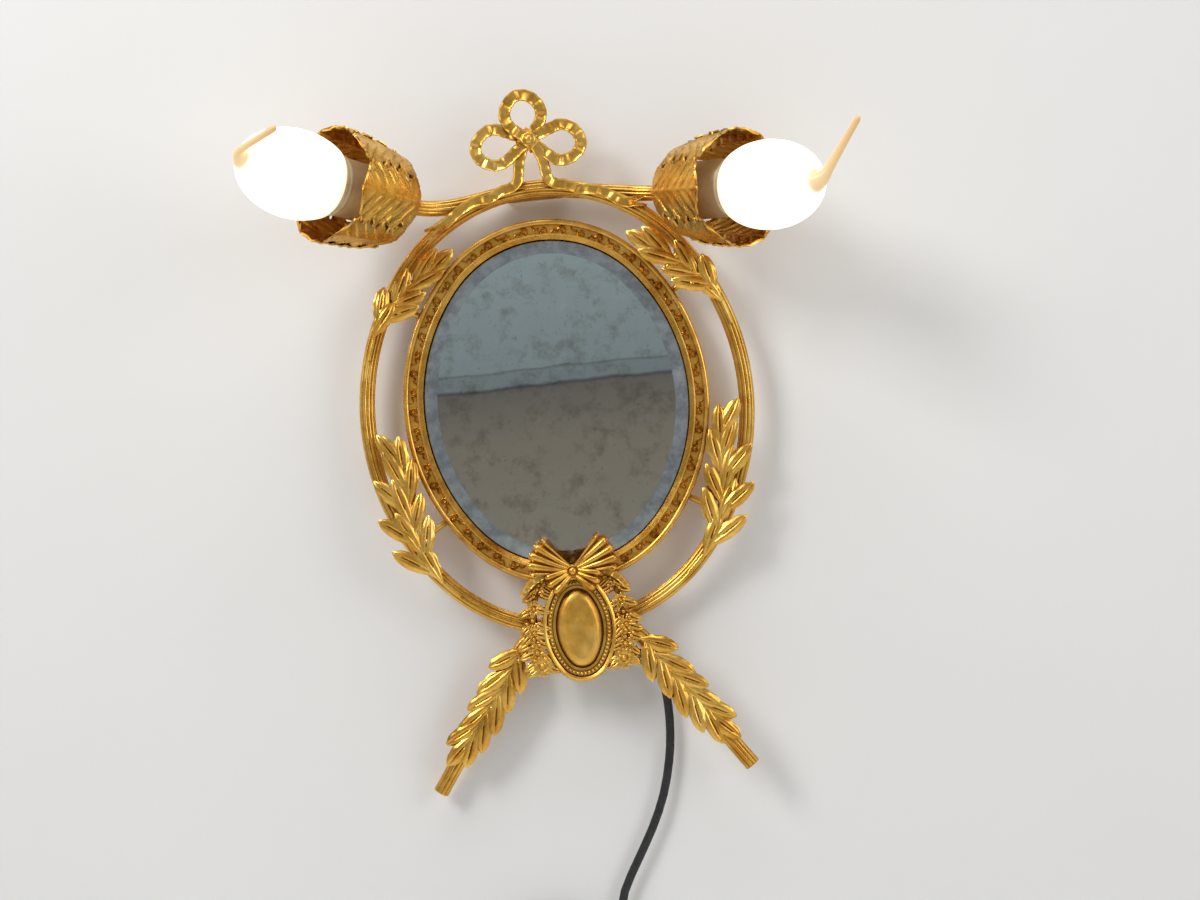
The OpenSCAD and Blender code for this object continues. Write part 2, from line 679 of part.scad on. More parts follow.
module top_bow() color(gilt) upright() {
    left_z = ribbon_z - 1.5;
    translate([0, bow_height, ribbon_z]) for (loop = [[186, 20.5, 0], [-10, 20, 0.35], [98, 17, 0.7]])
        translate([0, 0, loop[2]]) rotate(loop[0]) ribbon(loop_line(loop[1], bow_loop_r), ribbon_w);
    translate([0, bow_height, trim_z]) knot(15, 7);
    for (way = [-1, 1]) translate([0, 0, -0.17 - 0.05 * way])
        ribbon(spaced(tail(way, way > 0 ? ribbon_z : left_z)), ribbon_w);
    fork(raised(ring_top(-1, tail_end), left_z), 180 + tail_end - 5, ribbon_w);
    fork(raised(ring_top(1, tail_end), ribbon_z), -tail_end + 5, ribbon_w);
}

small_bow_y = crossing_y + medallion_h + 3.2;
small_bow_z = trim_z + plate_rim + clearance;
module medallion_bow() color(gilt) upright() {
    z = small_bow_z + ribbon_t / 2 + pleat;
    translate([0, small_bow_y, z]) for (way = [-1, 1]) mirror([way > 0 ? 0 : 1, 0, 0]) {
        rotate(24) ribbon(loop_line(17, 5.6), small_ribbon_w);
        ribbon(spaced([[3, 1, 0], [13, 1, 0.4], [20, -3, 1], [26, -5, 1.4], [32, -12, 1.6]]), small_ribbon_w * 0.8);
    }
    translate([0, small_bow_y, small_bow_z]) knot(8.6, 5);
    translate([0, small_bow_y, frame_front + seat])
        cylinder(d = 5, h = small_bow_z + 1 - frame_front - seat, $fn = 12);
}

// ---------- medallion ----------

groove_w = bead_d + 0.8;
medallion_edge = [
    [0, 0], [0, plate_rim - 1.6], [-0.5, plate_rim - 0.5], [-1.6, plate_rim], [-2.7, plate_rim - 0.5],
    [-3.2, plate_rim - 1.6],
    [-bead_inset + groove_w / 2, plate_floor + 0.4], [-bead_inset - groove_w / 2, plate_floor + 0.4],
    [-bead_inset - groove_w / 2 - 0.3, plate_floor + 1.4], [-dome_inset + 0.6, plate_floor + 1.4],
    [-dome_inset, plate_floor]
];

module medallion_plate() color(gilt) upright() translate([0, crossing_y, trim_z]) difference() {
    union() {
        oval_turned(medallion_w, medallion_h, medallion_edge);
        translate([0, medallion_h - 4.5, frame_front + seat - trim_z]) cylinder(d = 4, h = trim_z - frame_front);
    }
    translate([0, 0, -1]) cylinder(d = bolt_d + 2 * seat, h = plate_floor + 2);
    for (x = [-1, 1]) translate([x * box_screw_x, box_y - crossing_y, -1]) cylinder(d = 2.4, h = 2.6);
}

// A ring of beads on a strip that lies in the plate's groove
bead_strip_t = 1.2;
module medallion_beads() color(gilt) upright() translate([0, crossing_y, trim_z + plate_floor + 0.4 + seat / 2]) {
    half = groove_w / 2 - clearance / 2;
    for (i = [0 : bead_count - 1]) {
        place = oval_place(medallion_w, medallion_h, bead_inset, i / bead_count);
        translate([place[0].x, place[0].y, bead_strip_t]) sphere(d = bead_d);
    }
    linear_extrude(bead_strip_t) difference() {
        oval(medallion_w, medallion_h, bead_inset - half);
        oval(medallion_w, medallion_h, bead_inset + half);
    }
}

dome_edge = concat(
    [[-dome_inset - seat, 0]],
    [for (a = [0 : 15 : 75]) [-dome_inset - seat - 6.5 * (1 - cos(a)), 0.6 + (dome_rise - 0.6) * sin(a)]]);
module medallion_dome() color(gilt) upright() translate([0, crossing_y, trim_z + plate_floor + seat / 2]) difference() {
    oval_shell(medallion_w, medallion_h, dome_edge, 48);
    translate([0, 0, -1]) cylinder(d = 9.2, h = nut_t + seat + 1.4);
}

// ---------- garlands ----------

garland_from = 0.41;
garland_to = 0.595;
husks = 6;

// One bell-shaped husk, its mouth towards +x
module husk(w) {
    rotate([0, 90, 0]) rotate_extrude()
        polygon([[0, 0], [w * 0.2, 0], [w * 0.3, w * 0.25], [w * 0.34, w * 0.5], [w * 0.5, w * 0.85],
            [w * 0.42, w * 0.9], [0, w * 0.6]]);
}

module garland() {
    step = (garland_to - garland_from) / husks;
    intersection() {
        union() {
            for (i = [0 : husks - 1]) {
                w = garland_w * (0.55 + 0.45 * i / husks);
                place = oval_place(medallion_w, medallion_h, -garland_w / 2 - seat, garland_from + step * i);
                translate([place[0].x, place[0].y, garland_w * 0.16]) rotate(place[1] + 90) husk(w);
            }
            flower = oval_place(medallion_w, medallion_h, -garland_w / 2 - seat, garland_to);
            translate([flower[0].x, flower[0].y, 2.4]) {
                sphere(d = 4.6);
                for (a = [0 : 45 : 315]) rotate(a) translate([3.5, 0, -0.4]) sphere(d = 4);
            }
        }
        translate([-2 * medallion_w, -2 * medallion_h, 0]) cube([4 * medallion_w, 4 * medallion_h, 20]);
    }
}
module left_garland() color(gilt) upright() translate([0, crossing_y, trim_z]) garland();
module right_garland() color(gilt) upright() translate([0, crossing_y, trim_z]) mirror([1, 0, 0]) garland();

// ---------- junction box ----------

box_top = crossing_y - stem_r - 1.5;
box_y = box_top - box_h / 2;
cover_t = 1.6;
box_back = cover_t + seat;
box_front = trim_z - seat;
box_screw_x = 9;
gland_y = box_y - 1.5;
gland_z = 9;
gland_bore = 6.2;
wire_port_x = 9;
wire_port_z = 4.4;

module junction_box() color(brass) upright() translate([0, box_y, 0]) difference() {
    union() {
        difference() {
            translate([-box_w / 2, -box_h / 2, box_back]) cube([box_w, box_h, box_front - box_back]);
            translate([-box_w / 2 + box_wall, -box_h / 2 + box_wall, box_back - 1])
                cube([box_w - 2 * box_wall, box_h - 2 * box_wall, box_front - box_back - box_wall + 1]);
        }
        for (x = [-1, 1]) translate([x * (box_w / 2 - 3), -box_h / 2 + 3, box_back])
            cylinder(d = 4.4, h = box_front - box_back);
    }
    for (x = [-1, 1]) {
        translate([x * (box_w / 2 - 3), -box_h / 2 + 3, box_back - 1]) cylinder(d = 2.2, h = 9);
        translate([x * box_screw_x, 0, box_front - 4]) cylinder(d = 2.6, h = 8);
        translate([x * wire_port_x, box_h / 2 + 1, wire_port_z]) rotate([90, 0, 0])
            cylinder(d = wire_d + 1.8, h = box_wall + 2);
    }
    translate([box_w / 2 - box_wall - 1, gland_y - box_y, gland_z]) rotate([0, 90, 0])
        cylinder(d = gland_bore + 1.6, h = box_wall + 2);
}

module junction_cover() color(brass) upright() translate([0, box_y, 0]) difference() {
    translate([-box_w / 2, -box_h / 2, 0]) cube([box_w, box_h, cover_t]);
    for (x = [-1, 1]) translate([x * (box_w / 2 - 3), -box_h / 2 + 3, -0.01]) {
        cylinder(d1 = 4.2, d2 = 2.2, h = 1.2);
        cylinder(d = 2.2, h = cover_t + 1);
    }
}

module junction_screws() color(brass) upright() translate([0, box_y, 0]) for (x = [-1, 1]) {
    translate([x * (box_w / 2 - 3), -box_h / 2 + 3, 0.1]) {
        cylinder(d1 = 3.8, d2 = 1.8, h = 1.1);
        cylinder(d = 1.8, h = 7);
    }
    translate([x * box_screw_x, 0, box_front - box_wall - seat]) {
        translate([0, 0, -1.6]) cylinder(d = 4.4, h = 1.6);
        cylinder(d = 2.2, h = box_wall + seat + 1.7);
    }
}

block_w = 22;
block_h = 8;
block_t = 9;
block_z = box_front - box_wall - 2 * seat - 1.6 - block_t;
module terminal_block() color(cream) upright() translate([0, box_y, 0]) difference() {
    translate([-block_w / 2, -block_h / 2, block_z]) cube([block_w, block_h, block_t]);
    for (x = [-1, 1]) translate([x * block_w / 4, 0, block_z - 1]) cylinder(d = wire_d + 1.4, h = 4);
}

// Wire from the terminal block, through the box's port and round into the stem, out to the lampholder
function wire_line(layer) =
    let (inside = wire_course(layer), mouth = inside[0][0], back = inside[0][3], on = -inside[0][1])
    concat(
        [[block_w / 4, box_y, block_z + 1], [wire_port_x * 0.75, box_y + 2, wire_port_z + 4],
            [wire_port_x, box_top - 1, wire_port_z], [wire_port_x + 5, crossing_y + 1, wire_port_z],
            [mouth.x - 10, mouth.y, wire_port_z], mouth - (stem_r + 1) * back - 1.6 * on,
            mouth - 2.2 * back - 0.4 * on, mouth - 0.6 * back + 1.8 * on],
        [for (i = [1 : len(inside) - 1]) inside[i][0]],
        [last(inside)[0] + (spigot_length + 3) * last(inside)[1]]);

module wire(layer) color(dark) on_side(layer) swept(wire_line(layer), ngon(wire_d, 6), [0, 0, 1]);
module left_wire() wire(1);
module right_wire() wire(-1);

// ---------- lights ----------

// Outer profile of a leaf cup as [radius, height]: a flat seat, a round shoulder and a flare
cup_shoulder = 9;
cup_flare = 3;
function cup_profile(out) = concat(
    [[cup_r * 0.5, 0]],
    [for (a = [-80 : 20 : 0]) [cup_r - cup_flare - cup_shoulder, cup_shoulder] + (cup_shoulder + out) * [cos(a), sin(a)]],
    [[cup_r + out, cup_length * 0.5], [cup_r + out + 2, cup_length]]);

module cup_shell(out, t) {
    outer = cup_profile(out);
    inner = cup_profile(out - t);
    rotate_extrude(angle = 96, start = -48)
        polygon(concat(outer, reversed([for (i = [1 : len(inner) - 1]) inner[i]]), [[cup_r * 0.5, t]]));
}

// A cup leaf's outline as [height, half width] at the tips of its lobes and the notches between
cup_leaf_lobes = [[-1, 9], [3, 15.5], [9, 12], [15, 19.5], [21, 14], [28, 19], [33, 13], [39, 15], [43, 9]];

module cup_leaf_outline() {
    k = cup_length / 50;
    right = [for (lobe = cup_leaf_lobes) [lobe[1], lobe[0] * k]];
    polygon(concat(right, [[0, cup_length]], reversed([for (p = right) [-p.x, p.y]])));
}

module cup_veins() {
    k = cup_length / 50;
    translate([-0.8, 0]) square([1.6, cup_length * 0.94]);
    for (vein = [[8, 12], [20, 15], [31, 12]], way = [-1, 1])
        translate([0, (vein[0] - 7) * k]) rotate(way * -58) translate([-0.6, 0]) square([1.2, vein[1]]);
}

module cup_leaf(out) {
    intersection() {
        cup_shell(out, cup_t);
        rotate([90, 0, 90]) linear_extrude(2 * cup_r) cup_leaf_outline();
    }
    intersection() {
        cup_shell(out + 0.7, cup_t);
        rotate([90, 0, 90]) linear_extrude(2 * cup_r) cup_veins();
    }
}

cup_leaves = 3;
module leaf_cup(layer) color(gilt) on_arm(layer) translate([0, 0, seat]) difference() {
    union() {
        cylinder(r = cup_r * 0.6, h = cup_t);
        for (i = [0 : cup_leaves - 1]) {
            rotate(360 * i / cup_leaves + 20) cup_leaf(0);
            rotate(360 * (i + 0.5) / cup_leaves + 20) cup_leaf(cup_t - 0.1);
        }
    }
    translate([0, 0, -1]) cylinder(d = spigot_d + 2 * seat, h = cup_t + 2);
}
module left_leaf_cup() leaf_cup(1);
module right_leaf_cup() leaf_cup(-1);

locknut_t = 3;
locknut_z = cup_t + 2 * seat;
module locknut(layer) color(brass) on_arm(layer) translate([0, 0, locknut_z]) difference() {
    cylinder(d = 13, h = locknut_t, $fn = 6);
    translate([0, 0, -1]) cylinder(d = spigot_d + 0.1, h = locknut_t + 2);
}
module left_locknut() locknut(1);
module right_locknut() locknut(-1);

// Lampholder: a dished base on the spigot, an insulating insert, a brass thread shell and a skirt
base_z = locknut_z + locknut_t + seat;
base_h = 11;
base_wall = 1.6;
module holder_base(layer) color(cream) on_arm(layer) translate([0, 0, base_z]) difference() {
    rotate_extrude() polygon(concat(
        [[spigot_d / 2 + 0.1, 0], [9, 0]],
        arc([holder_r - 7, 7], 7, -60, 0, 5),
        [[holder_r, base_h], [holder_r - base_wall, base_h], [holder_r - base_wall, 7]],
        arc([holder_r - 7, 7], 7 - base_wall, 0, -60, 5),
        [[9, base_wall], [spigot_d / 2 + 0.1, base_wall]]));
}
module left_holder_base() holder_base(1);
module right_holder_base() holder_base(-1);

insert_z = base_z + base_h - 3;
insert_h = 6;
module holder_insert(layer) color(cream) on_arm(layer) {
    difference() {
        translate([0, 0, insert_z]) cylinder(r = holder_r - base_wall - seat, h = insert_h);
        translate([0, 0, insert_z - 1]) cylinder(d = wire_d + 1.5, h = 4);
    }
    translate([0, 0, insert_z + insert_h - 0.1]) cylinder(d = 7, h = contact_z - seat - insert_z - insert_h + 0.1);
}
module left_holder_insert() holder_insert(1);
module right_holder_insert() holder_insert(-1);

shell_t = 0.5;
shell_r = cap_r + clearance + shell_t;
mouth_z = seat + holder_length;
collar_h = 6;
contact_z = mouth_z - cap_length - 4;
shell_z = insert_z + insert_h + seat;
module thread_shell(layer) color(brass) on_arm(layer) translate([0, 0, shell_z]) difference() {
    cylinder(r = shell_r, h = mouth_z - 2 - shell_z);
    translate([0, 0, -1]) cylinder(r = shell_r - shell_t, h = mouth_z);
}
module left_thread_shell() thread_shell(1);
module right_thread_shell() thread_shell(-1);

skirt_z = base_z + base_h + seat;
module holder_skirt(layer) color(cream) on_arm(layer) translate([0, 0, skirt_z]) difference() {
    cylinder(r = holder_r, h = mouth_z - collar_h - skirt_z);
    translate([0, 0, -1]) cylinder(r = shell_r + seat, h = holder_length);
    translate([0, 0, -1]) cylinder(r = holder_r - base_wall, h = insert_z + insert_h - skirt_z + 1 + seat);
}
module left_holder_skirt() holder_skirt(1);
module right_holder_skirt() holder_skirt(-1);

module shade_ring(layer) color(cream) on_arm(layer) translate([0, 0, mouth_z - collar_h + seat]) difference() {
    rotate_extrude() polygon([
        [shell_r + seat, 0], [holder_r, 0], [holder_r + 0.9, 0.8], [holder_r + 0.9, 2], [holder_r, 2.6],
        [holder_r, 3.2], [holder_r + 0.9, 3.8], [holder_r + 0.9, 5], [holder_r, collar_h - seat],
        [shell_r + 0.7, collar_h - seat], [shell_r + seat, collar_h - 1.4]]);
}
module left_shade_ring() shade_ring(1);
module right_shade_ring() shade_ring(-1);

// Bulb: screw cap with its insulator and contact, and an opal glass with a drawn and bent tip
cap_top = mouth_z - 3;
module bulb_cap(layer) color(silver) on_arm(layer) {
    translate([0, 0, contact_z]) cylinder(r1 = 4, r2 = 5.5, h = 2);
    translate([0, 0, contact_z + 2]) cylinder(r1 = 5.5, r2 = cap_r, h = cap_top - cap_length - contact_z);
    translate([0, 0, cap_top - cap_length + 2]) difference() {
        cylinder(r = cap_r, h = cap_length - 2);
        translate([0, 0, 1]) cylinder(r = cap_r - 0.6, h = cap_length);
    }
}
module left_bulb_cap() bulb_cap(1);
module right_bulb_cap() bulb_cap(-1);

glass_wall = 0.9;
bulb_mid = mouth_z + bulb_half * 0.82;
neck_r = cap_r - 0.6 - seat;
function bulb_profile(r, half, neck) = concat(
    [[neck, cap_top - 8], [neck, cap_top + 2.2]],
    [for (a = [-50 : 10 : 80]) [r * cos(a), bulb_mid + half * sin(a)]],
    [[0.01, bulb_mid + half]]);
module bulb_glass(layer) color("white") on_arm(layer) {
    difference() {
        rotate_extrude() polygon(concat([[0, cap_top - 8]], bulb_profile(bulb_r, bulb_half, neck_r),
            [[0, bulb_mid + bulb_half]]));
        translate([0, 0, -0.01]) rotate_extrude() polygon(concat([[0, cap_top - 8]],
            bulb_profile(bulb_r - glass_wall, bulb_half - glass_wall, neck_r - glass_wall),
            [[0, bulb_mid + bulb_half - glass_wall]]));
    }
    rotate(layer > 0 ? left_tip_clock : right_tip_clock) bulb_tip(layer > 0 ? left_tip_turn : right_tip_turn);
}

left_tip_clock = 120;
right_tip_clock = 186;
tip_bend_r = 11;
tip_end_r = 1.8;
tip_flare = 5.4;
module bulb_tip(turn) {
    foot = bulb_mid + bulb_half - 1.8;
    n = 6;
    bend = [for (i = [0 : n]) let (a = turn * i / n) [tip_bend_r * (1 - cos(a)), 0, foot + tip_bend_r * sin(a)]];
    rest = tip_length - tip_bend_r * turn * PI / 180;
    way = [sin(turn), 0, cos(turn)];
    line = concat(bend, [for (k = [1 : 3]) last(bend) + rest * k / 3 * way]);
    size = [for (i = [0 : len(line) - 1]) tip_end_r + tip_flare * pow(1 - i / (len(line) - 1), 2)];
    swept(line, ngon(2, 10), [1, 0, 0], size);
    translate(last(line)) sphere(r = tip_end_r + 0.1);
}
module left_bulb_glass() bulb_glass(1);
module right_bulb_glass() bulb_glass(-1);

// ---------- cord, coil and plug ----------

cord_w = 5.4;
cord_t = 2.8;
flange_t = 1.5;
gland_mouth = box_w / 2 + flange_t + 2;
module cord_gland() color(dark) upright() translate([box_w / 2 + seat, gland_y, gland_z]) rotate([0, 90, 0]) difference() {
    union() {
        translate([0, 0, -box_wall - seat]) cylinder(d = gland_bore + 1.2, h = box_wall + seat + 1);
        cylinder(d = gland_bore + 4, h = flange_t);
        cylinder(d = gland_bore + 2, h = flange_t + 2);
    }
    translate([0, 0, -box_wall - 1]) cylinder(d = gland_bore, h = box_wall + flange_t + 4);
}

// The cord's route: out of the box, behind the right leg, and down the wall to its coil
cord_route = [
    [18, -281, 9], [26, -281.5, 8.5], [35, -285, 7.5], [42, -292, 6], [46.5, -304, 5], [48, -318, 4.5],
    [47.5, -335, 4], [45, -352, 4], [39.5, -372, 4], [31, -391, 4], [20, -410, 4], [10, -428, 4],
    [5.5, -446, 4.5], [4.2, -460, 5], [3.7, -476, 6]
];
module cord() color(dark) upright() {
    flat = [for (a = [22.5 : 45 : 337.5]) [cord_t / 2 * cos(a) / cos(22.5), cord_w / 2 * sin(a) / cos(22.5)]];
    swept(smooth(cord_route, 3), flat, [0, 0, 1]);
}

coil_r = 31;
coil_w = 11.6;
coil_t = 11;
coil_centre = [-36, -477, 6];
module cord_coil() color(dark) upright() translate(coil_centre) rotate_extrude()
    translate([coil_r, 0]) square([coil_w, coil_t], center = true);

module coil_tie() color(dark) upright() translate(coil_centre) rotate(115) translate([coil_r, 0, 0]) difference() {
    cube([coil_w + 2.4, 9, coil_t + 1.8], center = true);
    cube([coil_w + 1, 10, coil_t + 0.6], center = true);
}

// Two-pin plug that hangs below the coil on the cord's end
plug_top = [-3, -506.6, 6.9];
module plug_body() color(dark) upright() translate(plug_top) {
    translate([-18.5, -37, -6.8]) cube([37, 20, 13.6]);
    translate([0, 0, -6.8]) linear_extrude(13.6) polygon([[-18.5, -17.5], [18.5, -17.5], [8, -6], [-8, -6]]);
    translate([0, -6.5, 0]) rotate([-90, 0, 0]) cylinder(d1 = 9, d2 = 6.4, h = 13.9);
}
module plug_pins() color(silver) upright() translate(plug_top) for (x = [-9.5, 9.5])
    translate([x, -37 - seat, 0]) rotate([90, 0, 0]) cylinder(d = 4, h = 19);

left_branch();
right_branch();
crossing_bolt();
mirror_frame();
mirror_glass();
backing_felt();
backboard();
upper_left_button();
upper_right_button();
lower_left_button();
lower_right_button();
button_screws();
hanging_plate();
hanging_screws();
upper_left_laurel();
upper_right_laurel();
lower_left_laurel();
lower_right_laurel();
left_leg_laurel();
right_leg_laurel();
top_bow();
medallion_plate();
medallion_beads();
medallion_dome();
medallion_bow();
left_garland();
right_garland();
junction_box();
junction_cover();
junction_screws();
terminal_block();
left_wire();
right_wire();
left_leaf_cup();
right_leaf_cup();
left_locknut();
right_locknut();
left_holder_base();
right_holder_base();
left_holder_insert();
right_holder_insert();
left_thread_shell();
right_thread_shell();
left_holder_skirt();
right_holder_skirt();
left_shade_ring();
right_shade_ring();
left_bulb_cap();
right_bulb_cap();
left_bulb_glass();
right_bulb_glass();
cord_gland();
cord();
cord_coil();
coil_tie();
plug_body();
plug_pins();
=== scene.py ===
import math
import random

import bpy
from mathutils import Matrix, Vector


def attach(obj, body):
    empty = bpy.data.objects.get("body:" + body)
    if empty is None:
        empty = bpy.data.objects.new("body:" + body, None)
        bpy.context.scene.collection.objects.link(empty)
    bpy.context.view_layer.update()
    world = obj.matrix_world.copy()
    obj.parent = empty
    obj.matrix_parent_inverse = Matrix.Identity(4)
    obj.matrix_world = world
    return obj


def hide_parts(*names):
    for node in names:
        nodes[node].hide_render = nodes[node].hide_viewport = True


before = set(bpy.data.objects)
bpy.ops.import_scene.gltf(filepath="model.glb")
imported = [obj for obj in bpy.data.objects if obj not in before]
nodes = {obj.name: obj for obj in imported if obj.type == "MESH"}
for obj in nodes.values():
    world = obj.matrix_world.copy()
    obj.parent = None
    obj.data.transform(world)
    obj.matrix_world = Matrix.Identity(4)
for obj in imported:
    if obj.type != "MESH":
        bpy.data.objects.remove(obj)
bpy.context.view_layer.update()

# Camera in front of the mirror, a little to the right of its middle and rolled by six degrees, as the
# mirror is seen hanging slightly askew.
camera = bpy.data.objects.new("camera", bpy.data.cameras.new("camera"))
camera.data.lens = 60
camera.data.sensor_width = 36
camera.data.clip_start = 0.01
camera.matrix_world = Matrix.Translation((0.023, -1.218, -0.160)) @ (
    Matrix.Rotation(math.radians(90), 4, "X") @ Matrix.Rotation(math.radians(-6), 4, "Z"))
bpy.context.scene.collection.objects.link(camera)
bpy.context.scene.camera = camera
bpy.context.scene.view_settings.view_transform = "Standard"


# Helpers. Shapes are drawn in mm in the face frame, x right, y up and z out of the wall, from the ring's
# top, and are then laid onto the part's own frame in metres.
def wall(x, y, z):
    """A point of the face frame, in the part's own frame."""
    return Vector((x, -z, y)) / 1000


def new_material(name, colour, roughness, metallic=0.0):
    material = bpy.data.materials.new(name)
    material.use_nodes = True
    shader = material.node_tree.nodes["Principled BSDF"]
    shader.inputs["Base Color"].default_value = (*colour, 1)
    shader.inputs["Roughness"].default_value = roughness
    shader.inputs["Metallic"].default_value = metallic
    return material, material.node_tree, shader


def noise(tree, scale, detail=4.0, roughness=0.6):
    where = tree.nodes.new("ShaderNodeTexCoord")
    texture = tree.nodes.new("ShaderNodeTexNoise")
    texture.inputs["Scale"].default_value = scale
    texture.inputs["Detail"].default_value = detail
    texture.inputs["Roughness"].default_value = roughness
    tree.links.new(where.outputs["Object"], texture.inputs["Vector"])
    return texture.outputs["Fac"]


def ramp(tree, value, stops):
    """A colour that a value picks from stops of [place, colour]."""
    node = tree.nodes.new("ShaderNodeValToRGB")
    while len(node.color_ramp.elements) < len(stops):
        node.color_ramp.elements.new(0.5)
    for element, (place, colour) in zip(node.color_ramp.elements, stops):
        element.position = place
        element.color = (*colour, 1)
    tree.links.new(value, node.inputs["Fac"])
    return node.outputs["Color"]


def grey(v):
    return (v, v, v)


def bump(tree, shader, height, distance):
    node = tree.nodes.new("ShaderNodeBump")
    node.inputs["Strength"].default_value = 1.0
    node.inputs["Distance"].default_value = distance
    tree.links.new(height, node.inputs["Height"])
    tree.links.new(node.outputs["Normal"], shader.inputs["Normal"])


def speckled(name, dark, light, scale, low, high, metallic=0.0, depth=0.00005):
    """A material whose colour and gloss vary with the same soft noise, over a fine grain."""
    material, tree, shader = new_material(name, light, low, metallic)
    value = noise(tree, scale)
    tree.links.new(ramp(tree, value, [(0.35, dark), (0.62, light)]), shader.inputs["Base Color"])
    tree.links.new(ramp(tree, value, [(0.3, grey(high)), (0.7, grey(low))]), shader.inputs["Roughness"])
    bump(tree, shader, noise(tree, 900, 3.0), depth)
    return material


def mixed(tree, first, second, factor=None, blend="MIX"):
    """A node that mixes two colours; its factor is set here or linked later."""
    node = tree.nodes.new("ShaderNodeMix")
    node.data_type = "RGBA"
    node.blend_type = blend
    if factor is not None:
        node.inputs["Factor"].default_value = factor
    tree.links.new(first, node.inputs["A"])
    tree.links.new(second, node.inputs["B"])
    return node


def dress(obj, material):
    obj.data.materials.clear()
    obj.data.materials.append(material)


def only(obj):
    """Makes a piece the only one selected, and the active one."""
    bpy.ops.object.select_all(action="DESELECT")
    obj.select_set(True)
    bpy.context.view_layer.objects.active = obj


def added(primitive, **settings):
    """A new primitive, the only one selected, with its place worked into its mesh."""
    bpy.ops.object.select_all(action="DESELECT")
    primitive(**settings)
    bpy.ops.object.transform_apply(location=True, rotation=False, scale=False)
    return bpy.context.view_layer.objects.active


def thickened(sheet, thickness):
    """Gives a drawn sheet its thickness, behind its face."""
    sheet.modifiers.new("thickness", "SOLIDIFY").thickness = -thickness
    only(sheet)
    bpy.ops.object.modifier_apply(modifier="thickness")
    return sheet


def joined(parts, name):
    """Joins pieces into the first of them, under a new name."""
    bpy.ops.object.select_all(action="DESELECT")
    for part in parts:
        part.select_set(True)
    bpy.context.view_layer.objects.active = parts[0]
    bpy.ops.object.join()
    whole = bpy.context.view_layer.objects.active
    whole.name = name
    return whole


def tidy_skin(obj, angle=50):
    """Welds a skin, turns its faces outwards and smooths it up to an angle in degrees."""
    only(obj)
    bpy.ops.object.mode_set(mode="EDIT")
    bpy.ops.mesh.select_all(action="SELECT")
    bpy.ops.mesh.remove_doubles(threshold=0.00001)
    bpy.ops.mesh.normals_make_consistent(inside=False)
    bpy.ops.object.mode_set(mode="OBJECT")
    bpy.ops.object.shade_smooth_by_angle(angle=math.radians(angle))


def ring_mesh(name, rings):
    """A closed skin over rings of points that all have the same number of points."""
    n = len(rings[0])
    faces = [[i * n + k, i * n + (k + 1) % n, (i + 1) * n + (k + 1) % n, (i + 1) * n + k]
             for i in range(len(rings) - 1) for k in range(n)]
    faces += [list(range(n)), [(len(rings) - 1) * n + k for k in range(n)]]
    mesh = bpy.data.meshes.new(name)
    mesh.from_pydata([v for ring in rings for v in ring], [], faces)
    obj = bpy.data.objects.new(name, mesh)
    bpy.context.scene.collection.objects.link(obj)
    tidy_skin(obj)
    return obj


def ring_round(centre, across, out, count):
    """Points round a centre, on the ellipse whose half axes are the vectors across and out."""
    angles = [math.tau * k / count for k in range(count)]
    return [centre + math.cos(a) * across + math.sin(a) * out for a in angles]


def heading_at(line, i):
    """The direction in which a line of points runs at one of them."""
    return (line[min(i + 1, len(line) - 1)] - line[max(i - 1, 0)]).normalized()


def smooth_points(points, steps):
    """A smooth curve through the points, with a number of steps from each to the next."""
    line = []
    for i in range(len(points) - 1):
        a, b = points[max(i - 1, 0)], points[i]
        c, d = points[i + 1], points[min(i + 2, len(points) - 1)]
        for k in range(steps):
            t = k / steps
            line.append(0.5 * (2 * b + (c - a) * t + (2 * a - 5 * b + 4 * c - d) * t * t
                               + (3 * b - a - 3 * c + d) * t * t * t))
    return line + [points[-1]]


# Flat twin cord in dark satin rubber. It leaves the junction box through its gland, passes behind the
# right leg and runs down the wall to a neat coil held by a strap.
cord_half_t, cord_half_w, cord_waist, cord_sides = 1.35, 2.6, 0.24, 16
cord_route = [wall(*p) for p in (
    (18, -281, 9), (26, -281.5, 8.5), (35, -285, 7.5), (42, -292, 6), (46.5, -304, 5), (48, -318, 4.5),
    (47.5, -335, 4), (45, -352, 4), (39.5, -372, 4), (31, -391, 4), (20, -410, 4), (10, -428, 4),
    (5.5, -446, 4.5), (4.2, -460, 5), (3.7, -476, 6))]
cord_path = smooth_points(cord_route, 2)
cord_rubber = speckled("cord_rubber", (0.012, 0.012, 0.013), (0.026, 0.026, 0.027), 160, 0.24, 0.4)

# The turns lie two abreast in four layers, and the last one leaves the back layer for the plug. The coil
# starts at the route's end, and each turn eases to its own radius and height over its first steps.
coil_x, coil_y, outer, inner, turn_steps = -36, -477, 33.6, 28.4, 24
layers = [10.1, 7.35, 4.65, 1.9]
turns = [(outer, layers[0]), (inner, layers[0]), (inner, layers[1]), (outer, layers[1]),
         (outer, layers[2]), (inner, layers[2]), (inner, layers[3]), (outer, layers[3])]
coil_points = []
reach, height = 39.7, 6
for k, (next_reach, next_height) in enumerate(turns):
    shift = 6 if k == 0 else 4
    for i in range(turn_steps):
        share = min(1, i / shift)
        ease = share * share * (3 - 2 * share)
        angle = -math.tau * i / turn_steps
        r = reach + (next_reach - reach) * ease
        coil_points.append(wall(coil_x + r * math.cos(angle), coil_y + r * math.sin(angle),
                                height + (next_height - height) * ease))
    reach, height = next_reach, next_height
plug_route = ((-2.4, -477, 1.9), (-2.4, -484, 2.2), (-2.6, -491, 4.0), (-2.9, -497, 6.2), (-3, -501, 6.9))
coil_points += [wall(*p) for p in plug_route]


